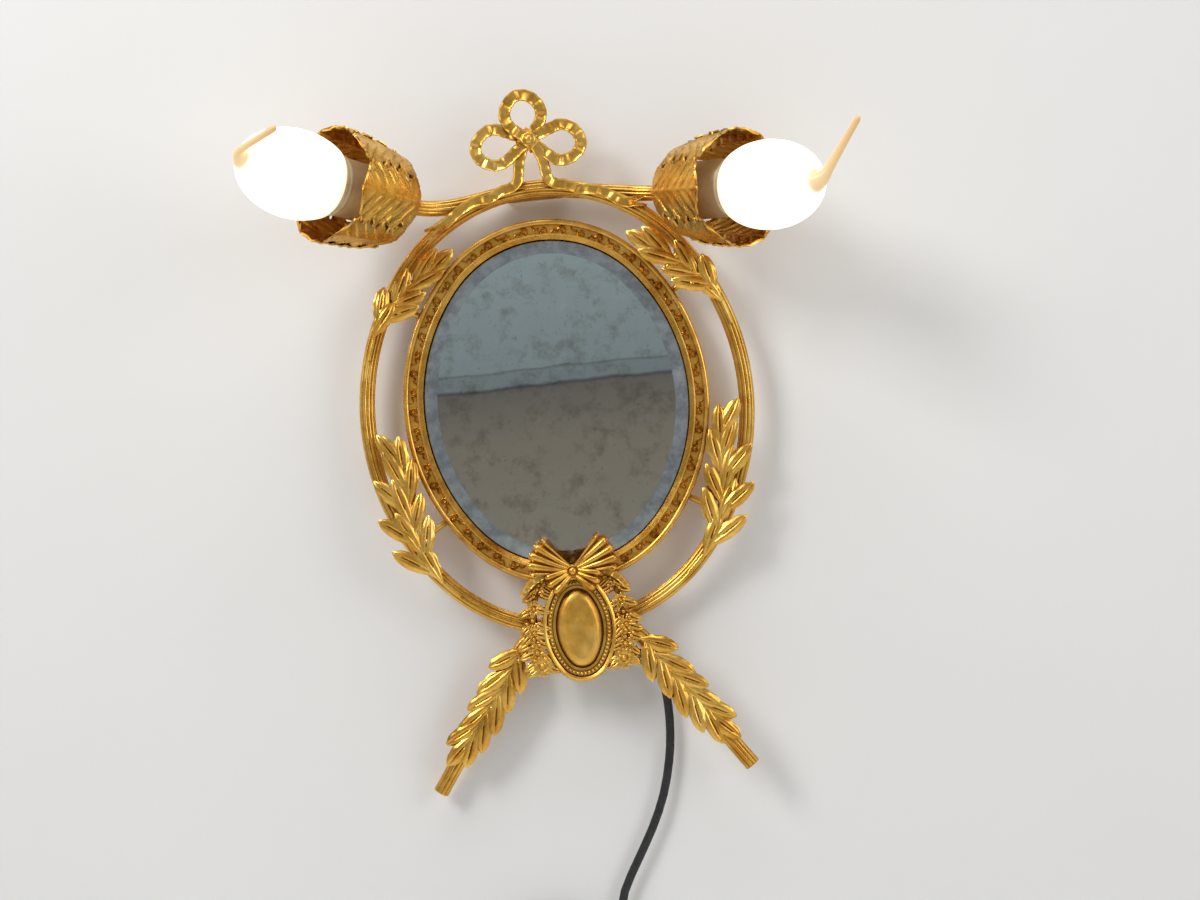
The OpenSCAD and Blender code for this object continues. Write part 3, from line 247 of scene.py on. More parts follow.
def swept_cord(name, path):
    """Sweeps the cord's waisted section along a path, its broad side towards the room."""
    rings = []
    for i, point in enumerate(path):
        along = heading_at(path, i)
        out = Vector((0, -1, 0))
        out = (out - along * along.dot(out)).normalized()
        across = along.cross(out)
        ring = []
        for k in range(cord_sides):
            a = math.tau * k / cord_sides
            waist = 1 - cord_waist * math.exp(-(math.sin(a) / 0.26) ** 2)
            ring.append(point + (out * (cord_half_t * math.cos(a) * waist)
                                 + across * (cord_half_w * math.sin(a))) / 1000)
        rings.append(ring)
    return ring_mesh(name, rings)


whole_path = cord_path + coil_points[1:]
cord = swept_cord("flat_cord", whole_path)
dress(cord, cord_rubber)
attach(cord, "fixed_parts")
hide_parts("cord", "cord_coil")

strap_fabric = speckled("strap_fabric", (0.012, 0.012, 0.013), (0.03, 0.03, 0.03), 400, 0.7, 0.9)
plug_plastic = speckled("plug_plastic", (0.02, 0.021, 0.022), (0.035, 0.036, 0.037), 120, 0.32, 0.45)
pin_nickel = speckled("pin_nickel", (0.5, 0.5, 0.49), (0.72, 0.72, 0.7), 200, 0.18, 0.3, 1.0)
dress(nodes["coil_tie"], strap_fabric)
dress(nodes["plug_body"], plug_plastic)
dress(nodes["plug_pins"], pin_nickel)
dress(nodes["cord_gland"], plug_plastic)


# Gilt bronze of all the cast and chased work: warm gold, glossier where burnished and satin elsewhere, with
# small cloudy differences in its tone and gloss. An occlusion mask darkens the hollows to brown, as patina
# and as painted shade.
def gilt_bronze(name, low, high, patina_and_shade=0.55, grain=0.00004):
    material, tree, shader = new_material(name, (0.86, 0.6, 0.22), low, 1.0)
    cloud = noise(tree, 55, 5.0)
    gold = ramp(tree, cloud, [(0.3, (0.56, 0.27, 0.035)), (0.52, (0.80, 0.45, 0.085)),
                              (0.78, (0.93, 0.61, 0.17))])
    # The hollows are darkened to dark brown by ambient occlusion: patina, and painted shade as well
    hollow = tree.nodes.new("ShaderNodeAmbientOcclusion")
    hollow.inputs["Distance"].default_value = 0.006
    hollow.samples = 6
    shade = ramp(tree, hollow.outputs["AO"], [(0.3, (0.20, 0.09, 0.02)), (0.9, (1, 1, 1))])
    colour = mixed(tree, gold, shade, patina_and_shade, "MULTIPLY")
    tree.links.new(colour.outputs["Result"], shader.inputs["Base Color"])
    tree.links.new(ramp(tree, noise(tree, 140, 4.0), [(0.35, grey(high)), (0.65, grey(low))]),
                   shader.inputs["Roughness"])
    bump(tree, shader, noise(tree, 700, 4.0), grain)
    return material


burnished = gilt_bronze("burnished_gilt", 0.2, 0.38, patina_and_shade=0.8)
satin = gilt_bronze("satin_gilt", 0.3, 0.5, grain=0.00007)
for name in ("mirror_frame", "medallion_plate", "medallion_beads"):
    dress(nodes[name], burnished)
dress(nodes["medallion_dome"], satin)


# Two reeded stems that cross above and below the mirror, run down as legs and end in the arms. Each is
# one bent bar of gilt bronze with a turned shoulder under the leaf cup. A step of a course is [length], or
# [radius, degrees, clock] for a bend, whose clock turns its centre from the ring's middle out of the wall.
ring_w, ring_h, ring_z, stem_d, crossing_gap = 114, 132, 16, 9.4, 0.3
stem_r = stem_d / 2
lap = (stem_d + crossing_gap) / 2
reeds, reed_depth, reed_steps = 10, 0.7, 6
diagonal = math.hypot(ring_w, ring_h)
end_r = diagonal * (diagonal - (ring_h - ring_w)) / (2 * ring_h)
side_r = diagonal * (diagonal + (ring_h - ring_w)) / (2 * ring_w)
side_a = math.degrees(math.atan2(ring_h - end_r, side_r - ring_w))
tilt = math.degrees(math.asin(lap / ring_h))


def turned(v, axis, degrees):
    return Matrix.Rotation(math.radians(degrees), 3, axis) @ v


def moved(at, step, part):
    """Moves a place [point, direction, towards the ring's centre, out of the wall] along one step."""
    if len(step) == 1:
        return [at[0] + part * step[0] * at[1], at[1], at[2], at[3]]
    clock = math.radians(step[2])
    d = math.cos(clock) * at[2] + math.sin(clock) * at[3]
    axis, a = at[1].cross(d), part * step[1]
    bend = math.radians(a)
    return [at[0] + step[0] * (math.sin(bend) * at[1] + (1 - math.cos(bend)) * d),
            turned(at[1], axis, a), turned(at[2], axis, a), turned(at[3], axis, a)]


def course(at, steps, spacing=2.6):
    """The places along a course of steps, after the one that it starts from."""
    places = []
    for step in steps:
        length = step[0] if len(step) == 1 else step[0] * math.radians(abs(step[1]))
        n = max(1, math.ceil(length / spacing))
        places += [moved(at, step, k / n) for k in range(1, n + 1)]
        at = places[-1]
    return places


def top_place(layer, way):
    """The place at the upper crossing, in the front layer 1 or the back layer -1, heading right or left."""
    a = math.radians(layer * tilt)
    return [Vector((0, 0, ring_z + layer * lap)), Vector((way, 0, 0)),
            Vector((0, -math.cos(a), -math.sin(a))), Vector((0, -math.sin(a), math.cos(a)))]


upper_arc = [end_r, 90 - side_a, 0]
side_arc = [side_r, 2 * side_a, 0]
leg_steps = [[14], [30, 55, 180], [97]]
arm_steps = {1: [[end_r, 9, 0], [25], [45, 50, 90 + 26], [8]],
             -1: [[end_r, 9, 0], [33], [45, 50, 90 - 3], [8]]}
sides = {1: "left", -1: "right"}


def onto(layer, v):
    """A point or direction drawn for the left branch, on its own side, in the part's frame in mm."""
    return Vector((v.x * layer, -v.z, v.y))


def arm_tip(layer):
    return course(top_place(layer, -1), arm_steps[layer])[-1]


def from_place(layer, at, inwards, out, along):
    """A point given in mm from a place on a stem, in the part's own frame in metres."""
    return onto(layer, at[0] + inwards * at[2] + out * at[3] + along * at[1]) / 1000


# Heights and radii of the shoulder, from the arm's tip
shoulder_line = ((-9, 4.6), (-8.2, 5.3), (-7.4, 4.8), (-5, 4.6), (-3.4, 5.2), (-2.4, 6.1), (-1.2, 6.2),
                 (0, 5.8), (0.02, 4), (11, 4))
for layer in (1, -1):
    places = list(reversed(course(top_place(layer, 1), [upper_arc, side_arc, upper_arc] + leg_steps)))
    places += [top_place(layer, -1)] + course(top_place(layer, -1), arm_steps[layer])
    rings = []
    for at in places:
        ring = []
        for k in range(reeds * reed_steps):
            a = math.tau * k / (reeds * reed_steps)
            r = stem_r - reed_depth * (1 - abs(math.cos(reeds * a / 2)) ** 0.6)
            ring.append(from_place(layer, at, r * math.cos(a), r * math.sin(a), 0))
        rings.append(ring)
    stem = ring_mesh(sides[layer] + "_stem", rings)
    tip = arm_tip(layer)
    rings = []
    for height, r in shoulder_line:
        middle = tip[0] + height * tip[1]
        rings.append([onto(layer, p) / 1000 for p in ring_round(middle, r * tip[2], r * tip[3], 32)])
    shoulder = ring_mesh(sides[layer] + "_shoulder", rings)
    only(stem)
    shoulder.select_set(True)
    bpy.ops.object.join()
    dress(stem, burnished)
    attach(stem, "fixed_parts")
    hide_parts(sides[layer] + "_branch")


# Laurel: cast leaves with a sunk midrib on a thin twig that is soldered along the stem, with small round
# berries between them.
leaf_w, leaf_t, twig_r, twig_tip_r, berry_r, seat = 10.4, 0.9, 1.35, 0.7, 2.2, 0.2


def laurel_leaf(length, lift, droop):
    """A blunt leaf along +x: two full halves that swell between a sunk midrib and a rolled edge."""
    leaf = added(bpy.ops.mesh.primitive_grid_add, x_subdivisions=22, y_subdivisions=14, size=2)
    for vertex in leaf.data.vertices:
        t = (vertex.co.x + 1) / 2
        v = vertex.co.y
        half = leaf_w / 2 * max(0.02, math.sin(math.pi * t ** 1.05)) ** 0.62 * (0.72 + 0.36 * t)
        groove = -0.75 * math.exp(-(v / 0.13) ** 2) * (1 - 0.5 * t)
        full = math.sin(math.pi * min(1, t * 0.96 + 0.04)) ** 0.5
        swell = 1.5 * math.cos(math.pi / 2 * (abs(v) - 0.34) / 0.66) ** 2 * full
        vein = 0.12 * math.sin(22 * (t - 0.3 * abs(v))) * abs(v)
        z = lift * t + 1.6 * t * (1 - t) + droop * t * t + groove + swell + vein + 0.5
        vertex.co = Vector((length * t, half * v, z))
    return thickened(leaf, leaf_t)


def point_along(line, s):
    """The point at a distance along a line of points."""
    for a, b in zip(line, line[1:]):
        d = (b - a).length
        if s <= d or b is line[-1]:
            return a + (b - a) * s / d
        s -= d


def laurel_sprig(name, layer, at, x_axis, y_axis, z_axis, twig, leaves, berries, node):
    """One sprig, laid on its stem and joined as the casting is.

    The leaves are [distance along the twig, heading in degrees, length]; the berries are places."""
    place = Matrix((x_axis, y_axis, z_axis)).transposed()
    twig_z, leaf_z = stem_r + seat + 1.3, stem_r + seat + 2.4
    line = [Vector((p[0], p[1], twig_z)) for p in twig]
    path = smooth_points(line, 5)
    rings = []
    for i, p in enumerate(path):
        r = twig_r + (twig_tip_r - twig_r) * i / len(path)
        rings.append(ring_round(p, Vector((0, r, 0)), Vector((0, 0, r)), 10))
    parts = [ring_mesh("twig", rings)]
    seed = random.Random(name)
    for s, heading, length in leaves:
        p = point_along(line, s)
        leaf = laurel_leaf(length + 3, 0.8 + seed.uniform(-0.3, 0.8), seed.uniform(-1.2, 0.6))
        turn = Matrix.Rotation(math.radians(heading), 4, "Z")
        roll = Matrix.Rotation(math.radians(seed.uniform(-9, 9)), 4, "X")
        leaf.data.transform(Matrix.Translation((p.x, p.y, leaf_z - 0.4)) @ (turn @ roll)
                            @ Matrix.Translation((-2.5, 0, 0)))
        parts.append(leaf)
    for x, y in berries:
        parts.append(added(bpy.ops.mesh.primitive_uv_sphere_add, segments=16, ring_count=10, radius=berry_r,
                           location=(x, y, leaf_z + 0.7)))
    sprig = joined(parts, name)
    for vertex in sprig.data.vertices:
        vertex.co = onto(layer, at + place @ vertex.co) / 1000
    tidy_skin(sprig, 60)
    dress(sprig, burnished)
    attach(sprig, "fixed_parts")
    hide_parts(node)


upper_twig = [[-6, 0], [4, 0], [18, 1], [30, 8], [45, 17], [56, 28]]
upper_leaves = [[17, 20, 20], [24, -4, 20], [25, 58, 24], [38, 7, 22], [37, 56, 20], [50, 50, 24],
                [56, 20, 23], [66, 34, 19]]
upper_berries = [[25, 12], [40, 21], [44, 14]]
lower_twig = [[-6, 0], [6, 0], [21, 1], [42, 13], [54, 25], [70, 39]]
lower_leaves = [[16, 20, 25], [22, -12, 26], [30, 56, 27], [36, 18, 27], [42, -8, 26], [48, 62, 24],
                [54, 28, 28], [62, 0, 27], [67, 54, 25], [73, 22, 28], [82, 42, 24], [88, 12, 24]]
lower_berries = [[30, 13], [48, 25], [58, 25]]
leg_twig = [[-3, 0], [6, 0], [24, -1], [44, 1], [61, 0]]
leg_leaves = [[1, 34, 20], [3, -32, 23], [13, 24, 24], [16, -27, 23], [26, 30, 23], [30, -25, 24],
              [38, 20, 25], [43, -24, 24], [50, 27, 23], [54, -14, 24], [60, 12, 22]]
leg_berries = [[3, -2.4], [36, -2], [33, 2.4]]
for layer, side in ((1, "right"), (-1, "left")):
    for height, start, twig, leaves, berries in (
            ("upper", [upper_arc, [side_r, 23, 0]], upper_twig, upper_leaves, upper_berries),
            ("lower", [upper_arc, side_arc, [end_r, 4.5, 0]], lower_twig, lower_leaves, lower_berries)):
        at = course(top_place(layer, 1), start)[-1]
        laurel_sprig(f"{height}_{side}_sprig", layer, at[0], -at[1], at[2], at[3], twig, leaves, berries,
                     f"{height}_{side}_laurel")
for layer, side in ((1, "left"), (-1, "right")):
    at = course(top_place(layer, 1), [upper_arc, side_arc, upper_arc, leg_steps[0], leg_steps[1]])[-1]
    laurel_sprig(f"{side}_leg_sprig", layer, at[0], at[1], at[2], at[3], leg_twig, leg_leaves, leg_berries,
                 f"{side}_leg_laurel")


# Ribbon bow above the mirror: three open loops and two forked tails round a wound knot. It is cast in one
# piece, with fine ribs across the ribbon and rolled edges, and lies over the stems.
crossing_y = -2 * ring_h
trim_gap = 0.3
trim_z = ring_z + lap + stem_r + trim_gap
ribbon_places = (-1, -0.86, -0.66, -0.33, 0, 0.33, 0.66, 0.86, 1)


def ribbon(line, width, pitch=2.6, thick=1.3):
    """A ribbed ribbon along a line of points, its broad side towards the room.

    The width is a number, or a list with one for each point."""
    rings, run = [], 0.0
    for i, p in enumerate(line):
        along = heading_at(line, i)
        across = Vector((0, 0, 1)).cross(along).normalized()
        out = along.cross(across)
        run += (p - line[max(i - 1, 0)]).length
        half = (width[i] if isinstance(width, list) else width) / 2
        rib = 0.15 * math.sin(math.pi * run / pitch) + 0.2 * math.sin(run / 3.1) ** 3
        half *= 1 + 0.035 * math.sin(math.pi * run / pitch)
        ring = []
        for v in ribbon_places:
            rolled = 0.45 * math.exp(-((abs(v) - 0.86) / 0.12) ** 2)
            rise = thick / 2 + rolled + rib * (1 - v ** 4) - 0.3 * abs(v) ** 8
            ring.append(p + across * half * v + out * rise)
        ring += [p + across * half * 0.94 - out * thick / 2, p - across * half * 0.94 - out * thick / 2]
        rings.append(ring)
    return ring_mesh("ribbon", rings)


def evenly(line, spacing=0.62):
    """Points of the smooth curve through a line, at least a spacing apart."""
    fine = smooth_points([Vector(p) for p in line], 24)
    kept, run = [fine[0]], 0.0
    for a, b in zip(fine, fine[1:]):
        run += (b - a).length
        if run >= spacing:
            kept.append(b)
            run = 0.0
    return kept


def teardrop(heading, length, r, low, high):
    """A loop that leaves the knot, rounds its end and comes back over itself a little higher."""
    middle = length - r
    b = math.acos(r / middle)
    touch = middle - r * math.cos(b)
    flat = [touch * k / 5 for k in range(1, 5)]
    side = r * math.sin(b) / touch
    line = [(x, -x * side) for x in flat]
    arc_steps = 18
    for k in range(arc_steps + 1):
        a = b - math.pi + (math.tau - 2 * b) * k / arc_steps
        squash = 1 + 0.07 * math.cos(2 * a)
        line.append((middle + r * math.cos(a) * squash, r * math.sin(a)))
    line += [(x, x * side) for x in reversed(flat)]
    turn = Matrix.Rotation(math.radians(heading), 3, "Z")
    last = len(line) - 1
    return evenly([turn @ Vector((x, y, low + (high - low) * k / last + 0.5 * math.sin(k * 1.9)))
                   for k, (x, y) in enumerate(line)])


# Shares of a boss's radius and rise, from its root to its top
boss_line = ((1.0, -1.5), (1.0, 0.0), (0.96, 0.35), (0.8, 0.5), (0.66, 0.42), (0.6, 0.5), (0.5, 0.8),
             (0.3, 0.95), (0.02, 1.0))


def boss(place, r, rise):
    """A domed button with a turned groove."""
    rings = []
    for share, height in boss_line:
        middle = Vector(place) + Vector((0, 0, rise * height))
        rings.append(ring_round(middle, Vector((r * share, 0, 0)), Vector((0, r * share, 0)), 28))
    return ring_mesh("boss", rings)


def to_wall(obj):
    """Lays a piece drawn in the face's own plane, in mm, onto the wall's frame."""
    for vertex in obj.data.vertices:
        v = vertex.co
        vertex.co = wall(v.x, v.y, v.z)
    tidy_skin(obj, 55)


def ring_top(way, degrees, reach):
    """The place on the ring's top arc at an angle to either side, and a reach beyond it."""
    a = math.radians(degrees)
    return way * (end_r + reach) * math.sin(a), (end_r + reach) * math.cos(a) - end_r


bow_y, bow_w = 28, 7
parts = []
for heading, length, r, low in ((187, 31.5, 10.8, 0.4), (-10, 30.5, 10.6, 0.8), (97, 26.4, 10.9, 1.2)):
    loop = ribbon(teardrop(heading, length, r, trim_z + low + 0.4, trim_z + low + 2.2), bow_w)
    loop.data.transform(Matrix.Translation((0, bow_y, 0)))
    parts.append(loop)
waves = ((11, 0.9), (15, -0.7), (20, 0.9))
fork_line = ((-2, 1.5), (2, 2.0), (6.5, 3.4))
for way, last_waves in ((-1, ((26, 0.6), (31, -0.8), (36, 0.2))), (1, ((24, 1.2), (30, -0.6), (34, 3.4)))):
    line = [(way * 3, bow_y - 3, trim_z + 2.4), (way * 7, bow_y * 0.55, trim_z + 1.2),
            (way * 9, 4.5, trim_z + 1.4), (way * 13, 0.6, trim_z + 2.6)]
    for k, (a, wave) in enumerate(waves + last_waves):
        x, y = ring_top(way, a, wave)
        line.append((x, y, trim_z + 1.6 + 0.9 * (-1) ** k))
    tail = evenly(line)
    parts.append(ribbon(tail, bow_w * 0.92))
    end, along = tail[-1], (tail[-1] - tail[-3]).normalized()
    for fork in (-1, 1):
        side = Vector((-along.y, along.x, 0)) * fork
        tine = evenly([end + along * ahead + side * apart for ahead, apart in fork_line])
        parts.append(ribbon(tine, [3.8 - 2.6 * k / len(tine) for k in range(len(tine))], thick=1.1))
for heading, lift in ((38, 2.6), (128, 3.4)):
    a = math.radians(heading)
    over = ((-6.4, 1), (-3.4, lift), (0, lift + 1.3), (3.4, lift), (6.4, 1))
    wound = evenly([(r * math.cos(a), r * math.sin(a), trim_z + rise) for r, rise in over], 0.5)
    wrap = ribbon(wound, 8.8, 2.9)
    wrap.data.transform(Matrix.Translation((0, bow_y, 0)))
    parts.append(wrap)
parts.append(boss((0, bow_y, trim_z + 4.8), 3.9, 2.3))
bow = joined(parts, "ribbon_bow")
to_wall(bow)
dress(bow, burnished)
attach(bow, "fixed_parts")
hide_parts("top_bow")


# Small bow over the medallion: two full pleated loops, a wound knot and two tails that fall over the
# garlands, cast with a pin that runs back to the mirror's frame.
roll_start, fan_t = 0.75, 0.9


def full_loop(heading, length, spread, folds):
    """A gathered loop: it fans out from the knot in pleats and rolls under at its end."""
    fan = added(bpy.ops.mesh.primitive_grid_add, x_subdivisions=30, y_subdivisions=44, size=2)
    turn = Matrix.Rotation(math.radians(heading), 3, "Z")
    for vertex in fan.data.vertices:
        u, v = (vertex.co.x + 1) / 2, vertex.co.y
        rise = 1.2 + 3.0 * math.sin(math.pi / 2 * min(1, u / roll_start))
        r = 1.5 + (length - 3.5) * min(1, u / roll_start)
        if u > roll_start:
            a = math.pi * 0.95 * (u - roll_start) / (1 - roll_start)
            r += 2.2 * math.sin(a)
            rise -= 1.9 * (1 - math.cos(a))
        r *= 1 - 0.1 * abs(v) ** 2 + 0.035 * math.cos(folds * math.pi * v)
        rise += 1.05 * math.cos(folds * math.pi * v) * min(1, u * 1.8) - 1.5 * abs(v) ** 3 * u
        a = math.radians(spread) * v
        vertex.co = turn @ Vector((r * math.cos(a), r * math.sin(a) + 1.7 * v, rise))
    return thickened(fan, fan_t)


small_bow = Vector((-0.6, crossing_y + 34.4, trim_z + 5.3))
parts = []
for heading, length, spread, folds in ((154, 26, 23, 4), (25, 26.5, 23, 4), (206, 16, 22, 3),
                                       (-27, 16, 22, 3)):
    fan = full_loop(heading, length, spread, folds)
    fan.data.transform(Matrix.Translation(small_bow))
    parts.append(fan)
fall = ((2, -0.5, 1.4), (11, 0.2, 2.2), (20, -2.2, 0.8), (27, -6.5, 1.6), (31.5, -13, 0.6))
for way in (-1, 1):
    tail = evenly([small_bow + Vector((way * x, y, z)) for x, y, z in fall])
    parts.append(ribbon(tail, [5.2 - 1.2 * k / len(tail) for k in range(len(tail))], 1.6, 1.1))
parts.append(boss(small_bow + Vector((0, 0, 1.5)), 3.9, 3.4))
parts.append(added(bpy.ops.mesh.primitive_cylinder_add, vertices=24, radius=2.4, depth=13,
                   location=small_bow + Vector((0, 0, -5))))
bow = joined(parts, "medallion_ribbon")
to_wall(bow)
dress(bow, burnished)
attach(bow, "fixed_parts")
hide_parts("medallion_bow")


# Garlands that hang at both sides of the medallion, each cast in one piece and soldered to its edge. Down
# each one, flowers and rings of buds take turns between pairs of leaves, over a larger flower at the foot.
def flower(place, r, turn, petals=6):
    """A flower of round petals, each with a crease, about a turned heart."""
    parts = []
    for k in range(petals):
        petal = added(bpy.ops.mesh.primitive_uv_sphere_add, segments=12, ring_count=8, radius=1)
        for vertex in petal.data.vertices:
            v = vertex.co
            dent = 0.5 * math.exp(-(v.y / 0.35) ** 2) if v.z > 0 else 0
            rise = (v.z - dent) * 0.85 + 0.9 + 0.5 * v.x
            vertex.co = Vector((v.x * r * 0.42 + r * 0.58, v.y * r * 0.33, rise))
        petal.data.transform(Matrix.Rotation(math.radians(turn + 360 * k / petals), 4, "Z"))
        parts.append(petal)
    parts.append(boss((0, 0, 1.0), r * 0.3, 1.3))
    whole = joined(parts, "flower")
    whole.data.transform(Matrix.Translation(place))
    return whole


garland_side = ((21.5, 28), (25.2, 17), (27.2, 5), (27.4, -6), (26.0, -14), (24.4, -20))
clusters, buds, bud_turn = 9, 5, 1.256
for way, side in ((-1, "left"), (1, "right")):
    seed = random.Random(41)
    rail = smooth_points([Vector((way * x, crossing_y + y, trim_z + 0.6)) for x, y in garland_side], 4)
    rings = []
    for i, p in enumerate(rail):
        r = 1.4 + 1.8 * i / len(rail)
        rings.append(ring_round(p, Vector((r, 0, 0)), Vector((0, 0, r * 0.5)), 10))
    parts = [ring_mesh("garland_core", rings)]
    for i in range(clusters):
        share = i / (clusters - 1)
        p = rail[round(share * (len(rail) - 1))]
        for sign in (-1, 1):
            leaf = laurel_leaf(9.6 + 1.6 * share, 0.4, 0.6)
            turn = Matrix.Rotation(math.radians(-90 + sign * (58 + seed.uniform(-12, 14))), 4, "Z")
            leaf.data.transform(Matrix.Translation(p + Vector((0, 0.5, 0.5))) @ turn
                                @ Matrix.Diagonal((1, 0.54, 1, 1)))
            parts.append(leaf)
        if i % 2 == 0:
            middle = p + Vector((seed.uniform(-0.6, 0.6), 0, 2))
            parts.append(flower(middle, (4.5 + 1.1 * share) * 1.15, seed.uniform(0, 60)))
        else:
            for k in range(buds):
                a = seed.uniform(0, 0.6) + bud_turn * k
                parts.append(boss(p + Vector((3.9 * math.cos(a), 2.2 * math.sin(a), 2.6)), 1.9, 1.9))
    parts.append(flower(rail[-1] + Vector((0, -0.5, 2.4)), 6.6, 10, 8))
    garland = joined(parts, side + "_flowers")
    to_wall(garland)
    dress(garland, burnished)
    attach(garland, "fixed_parts")
    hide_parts(side + "_garland")


# Mirror: bevelled plate glass with old silvering, grey, clouded and spotted, under a painted reflection of a
# room that is blue-grey above and brown towards its foot, held in a gilt band whose channel carries a running
# scroll.
frame_w, frame_h, frame_y, frame_back = 92, 110, -128.5, 5.2
glass_foot, glass_top, horizon_drift, flat_face, bevel_face = -0.235, -0.02, 0.022, -0.998, -0.99


def mapped(tree, value, low, high):
    """A value that runs from 0 at one end to 1 at the other."""
    node = tree.nodes.new("ShaderNodeMapRange")
    node.inputs["From Min"].default_value = low
    node.inputs["From Max"].default_value = high
    tree.links.new(value, node.inputs["Value"])
    return node.outputs["Result"]


def split_up(tree, vector):
    """The X, Y and Z of a vector."""
    node = tree.nodes.new("ShaderNodeSeparateXYZ")
    tree.links.new(vector, node.inputs["Vector"])
    return node.outputs


def silvering_with_reflection():
    """Silvering with a painted reflection, blue-grey over brown at an uneven dark horizon line, stained,
    spotted, and darker on the bevel.
    """
    material, tree, shader = new_material("silvering_with_reflection", (0.62, 0.68, 0.7), 0.06, 1.0)
    place = tree.nodes.new("ShaderNodeTexCoord").outputs["Object"]
    level = mapped(tree, split_up(tree, place)["Z"], glass_foot, glass_top)
    drift = tree.nodes.new("ShaderNodeMath")
    drift.operation = "MULTIPLY_ADD"
    drift.inputs[1].default_value = horizon_drift
    tree.links.new(noise(tree, 34, 6.0, 0.62), drift.inputs[0])
    tree.links.new(level, drift.inputs[2])
    # Painted reflection of a room, set by height on the glass: brown below, a dark horizon line, blue-grey
    # above
    reflection_and_stains = ramp(tree, drift.outputs["Value"], [
        (0.1, (0.46, 0.42, 0.33)), (0.4, (0.39, 0.35, 0.27)), (0.55, (0.26, 0.24, 0.20)),
        (0.558, (0.12, 0.13, 0.13)), (0.566, (0.34, 0.41, 0.41)), (0.60, (0.36, 0.43, 0.43)),
        (0.605, (0.24, 0.28, 0.28)), (0.61, (0.42, 0.51, 0.51)), (1.0, (0.56, 0.68, 0.68))])
    foxing = ramp(tree, noise(tree, 420, 8.0, 0.75), [(0.6, (1, 1, 1)), (0.68, (0.32, 0.25, 0.17))])
    stain = ramp(tree, noise(tree, 90, 8.0, 0.7), [(0.5, (1, 1, 1)), (0.75, (0.45, 0.38, 0.3))])
    for spots in (foxing, stain):
        reflection_and_stains = mixed(tree, reflection_and_stains, spots, 0.8, "MULTIPLY").outputs["Result"]
    normal = tree.nodes.new("ShaderNodeNewGeometry").outputs["Normal"]
    edge = mapped(tree, split_up(tree, normal)["Y"], flat_face, bevel_face)
    cloudy = ramp(tree, noise(tree, 120, 6.0, 0.7), [(0.4, (0.29, 0.32, 0.33)), (0.6, (0.45, 0.49, 0.50))])
    bevel = mixed(tree, reflection_and_stains, cloudy)
    tree.links.new(edge, bevel.inputs["Factor"])
    tree.links.new(bevel.outputs["Result"], shader.inputs["Base Color"])
    tree.links.new(ramp(tree, noise(tree, 60, 6.0, 0.7), [(0.4, grey(0.06)), (0.75, grey(0.3))]),
                   shader.inputs["Roughness"])
    shader.inputs["Coat Weight"].default_value = 0.6
    shader.inputs["Coat Roughness"].default_value = 0.03
    return material


dress(nodes["mirror_glass"], silvering_with_reflection())
nodes["mirror_glass"].data.shade_flat()

felt = speckled("wool_felt", (0.05, 0.035, 0.03), (0.11, 0.09, 0.08), 500, 0.9, 0.98, depth=0.0001)
board = speckled("oiled_board", (0.2, 0.11, 0.05), (0.36, 0.22, 0.11), 40, 0.5, 0.7)
dress(nodes["backing_felt"], felt)
dress(nodes["backboard"], board)


def oval_point(w, h, inset, fraction):
    """The point of a four-centred oval at a share of its outline, and the outward heading there."""
    d = math.hypot(w, h)
    r, big = d * (d - (h - w)) / (2 * h), d * (d + (h - w)) / (2 * w)
    a = math.atan2(h - r, big - w)
    side_l, end_l = 2 * a * (big - inset), (math.pi - 2 * a) * (r - inset)
    arcs = ((w - big, 0, big - inset, -a, side_l), (0, h - r, r - inset, a, end_l),
            (big - w, 0, big - inset, math.pi - a, side_l), (0, r - h, r - inset, math.pi + a, end_l))
    s = (fraction % 1) * 2 * (side_l + end_l)
    for x, y, radius, start, length in arcs:
        if s <= length:
            heading = start + s / radius
            return Vector((x + radius * math.cos(heading), y + radius * math.sin(heading))), heading
        s -= length
    return oval_point(w, h, inset, 0)


# The scroll is a row of curls, each one a raised strip that ends in a straight stroke to the next
scroll_count, scroll_inset, scroll_z, curl_steps = 52, 6.4, frame_back + 12.05, 14
scroll_points, scroll_faces = [], []
for i in range(scroll_count):
    point, heading = oval_point(frame_w, frame_h, scroll_inset, i / scroll_count)
    flip = 1 if i % 2 else -1
    path = []
    for k in range(curl_steps + 1):
        t = k / curl_steps
        a = 2.6 * math.pi * t
        r = 0.5 + 2.3 * t
        path.append(Vector((flip * r * math.cos(a) * 0.92, r * math.sin(a))))
    path += [Vector((flip * (1.2 - 2.4 * k), 4.2 + 1.9 * k)) for k in (0.5, 1.0, 1.5)]
    turn = Matrix.Rotation(heading, 2)
    base = len(scroll_points)
    for k, p in enumerate(path):
        along = heading_at(path, k)
        side = Vector((-along.y, along.x))
        half, crest = (0.74, 0.95) if 0 < k < len(path) - 1 else (0.2, 0.2)
        for across, up in ((-half, -0.1), (0, crest), (half, -0.1)):
            q = point + turn @ (p + side * across)
            scroll_points.append(wall(q.x, q.y + frame_y, scroll_z + up))
        if k:
            b = base + 3 * k
            scroll_faces += [[b - 3, b, b + 1, b - 2], [b - 2, b + 1, b + 2, b - 1], [b - 1, b + 2, b, b - 3]]
scroll_mesh = bpy.data.meshes.new("frame_scroll")
scroll_mesh.from_pydata(scroll_points, [], scroll_faces)
scroll = bpy.data.objects.new("frame_scroll", scroll_mesh)
bpy.context.scene.collection.objects.link(scroll)
tidy_skin(scroll, 70)
dress(scroll, burnished)
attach(scroll, "fixed_parts")

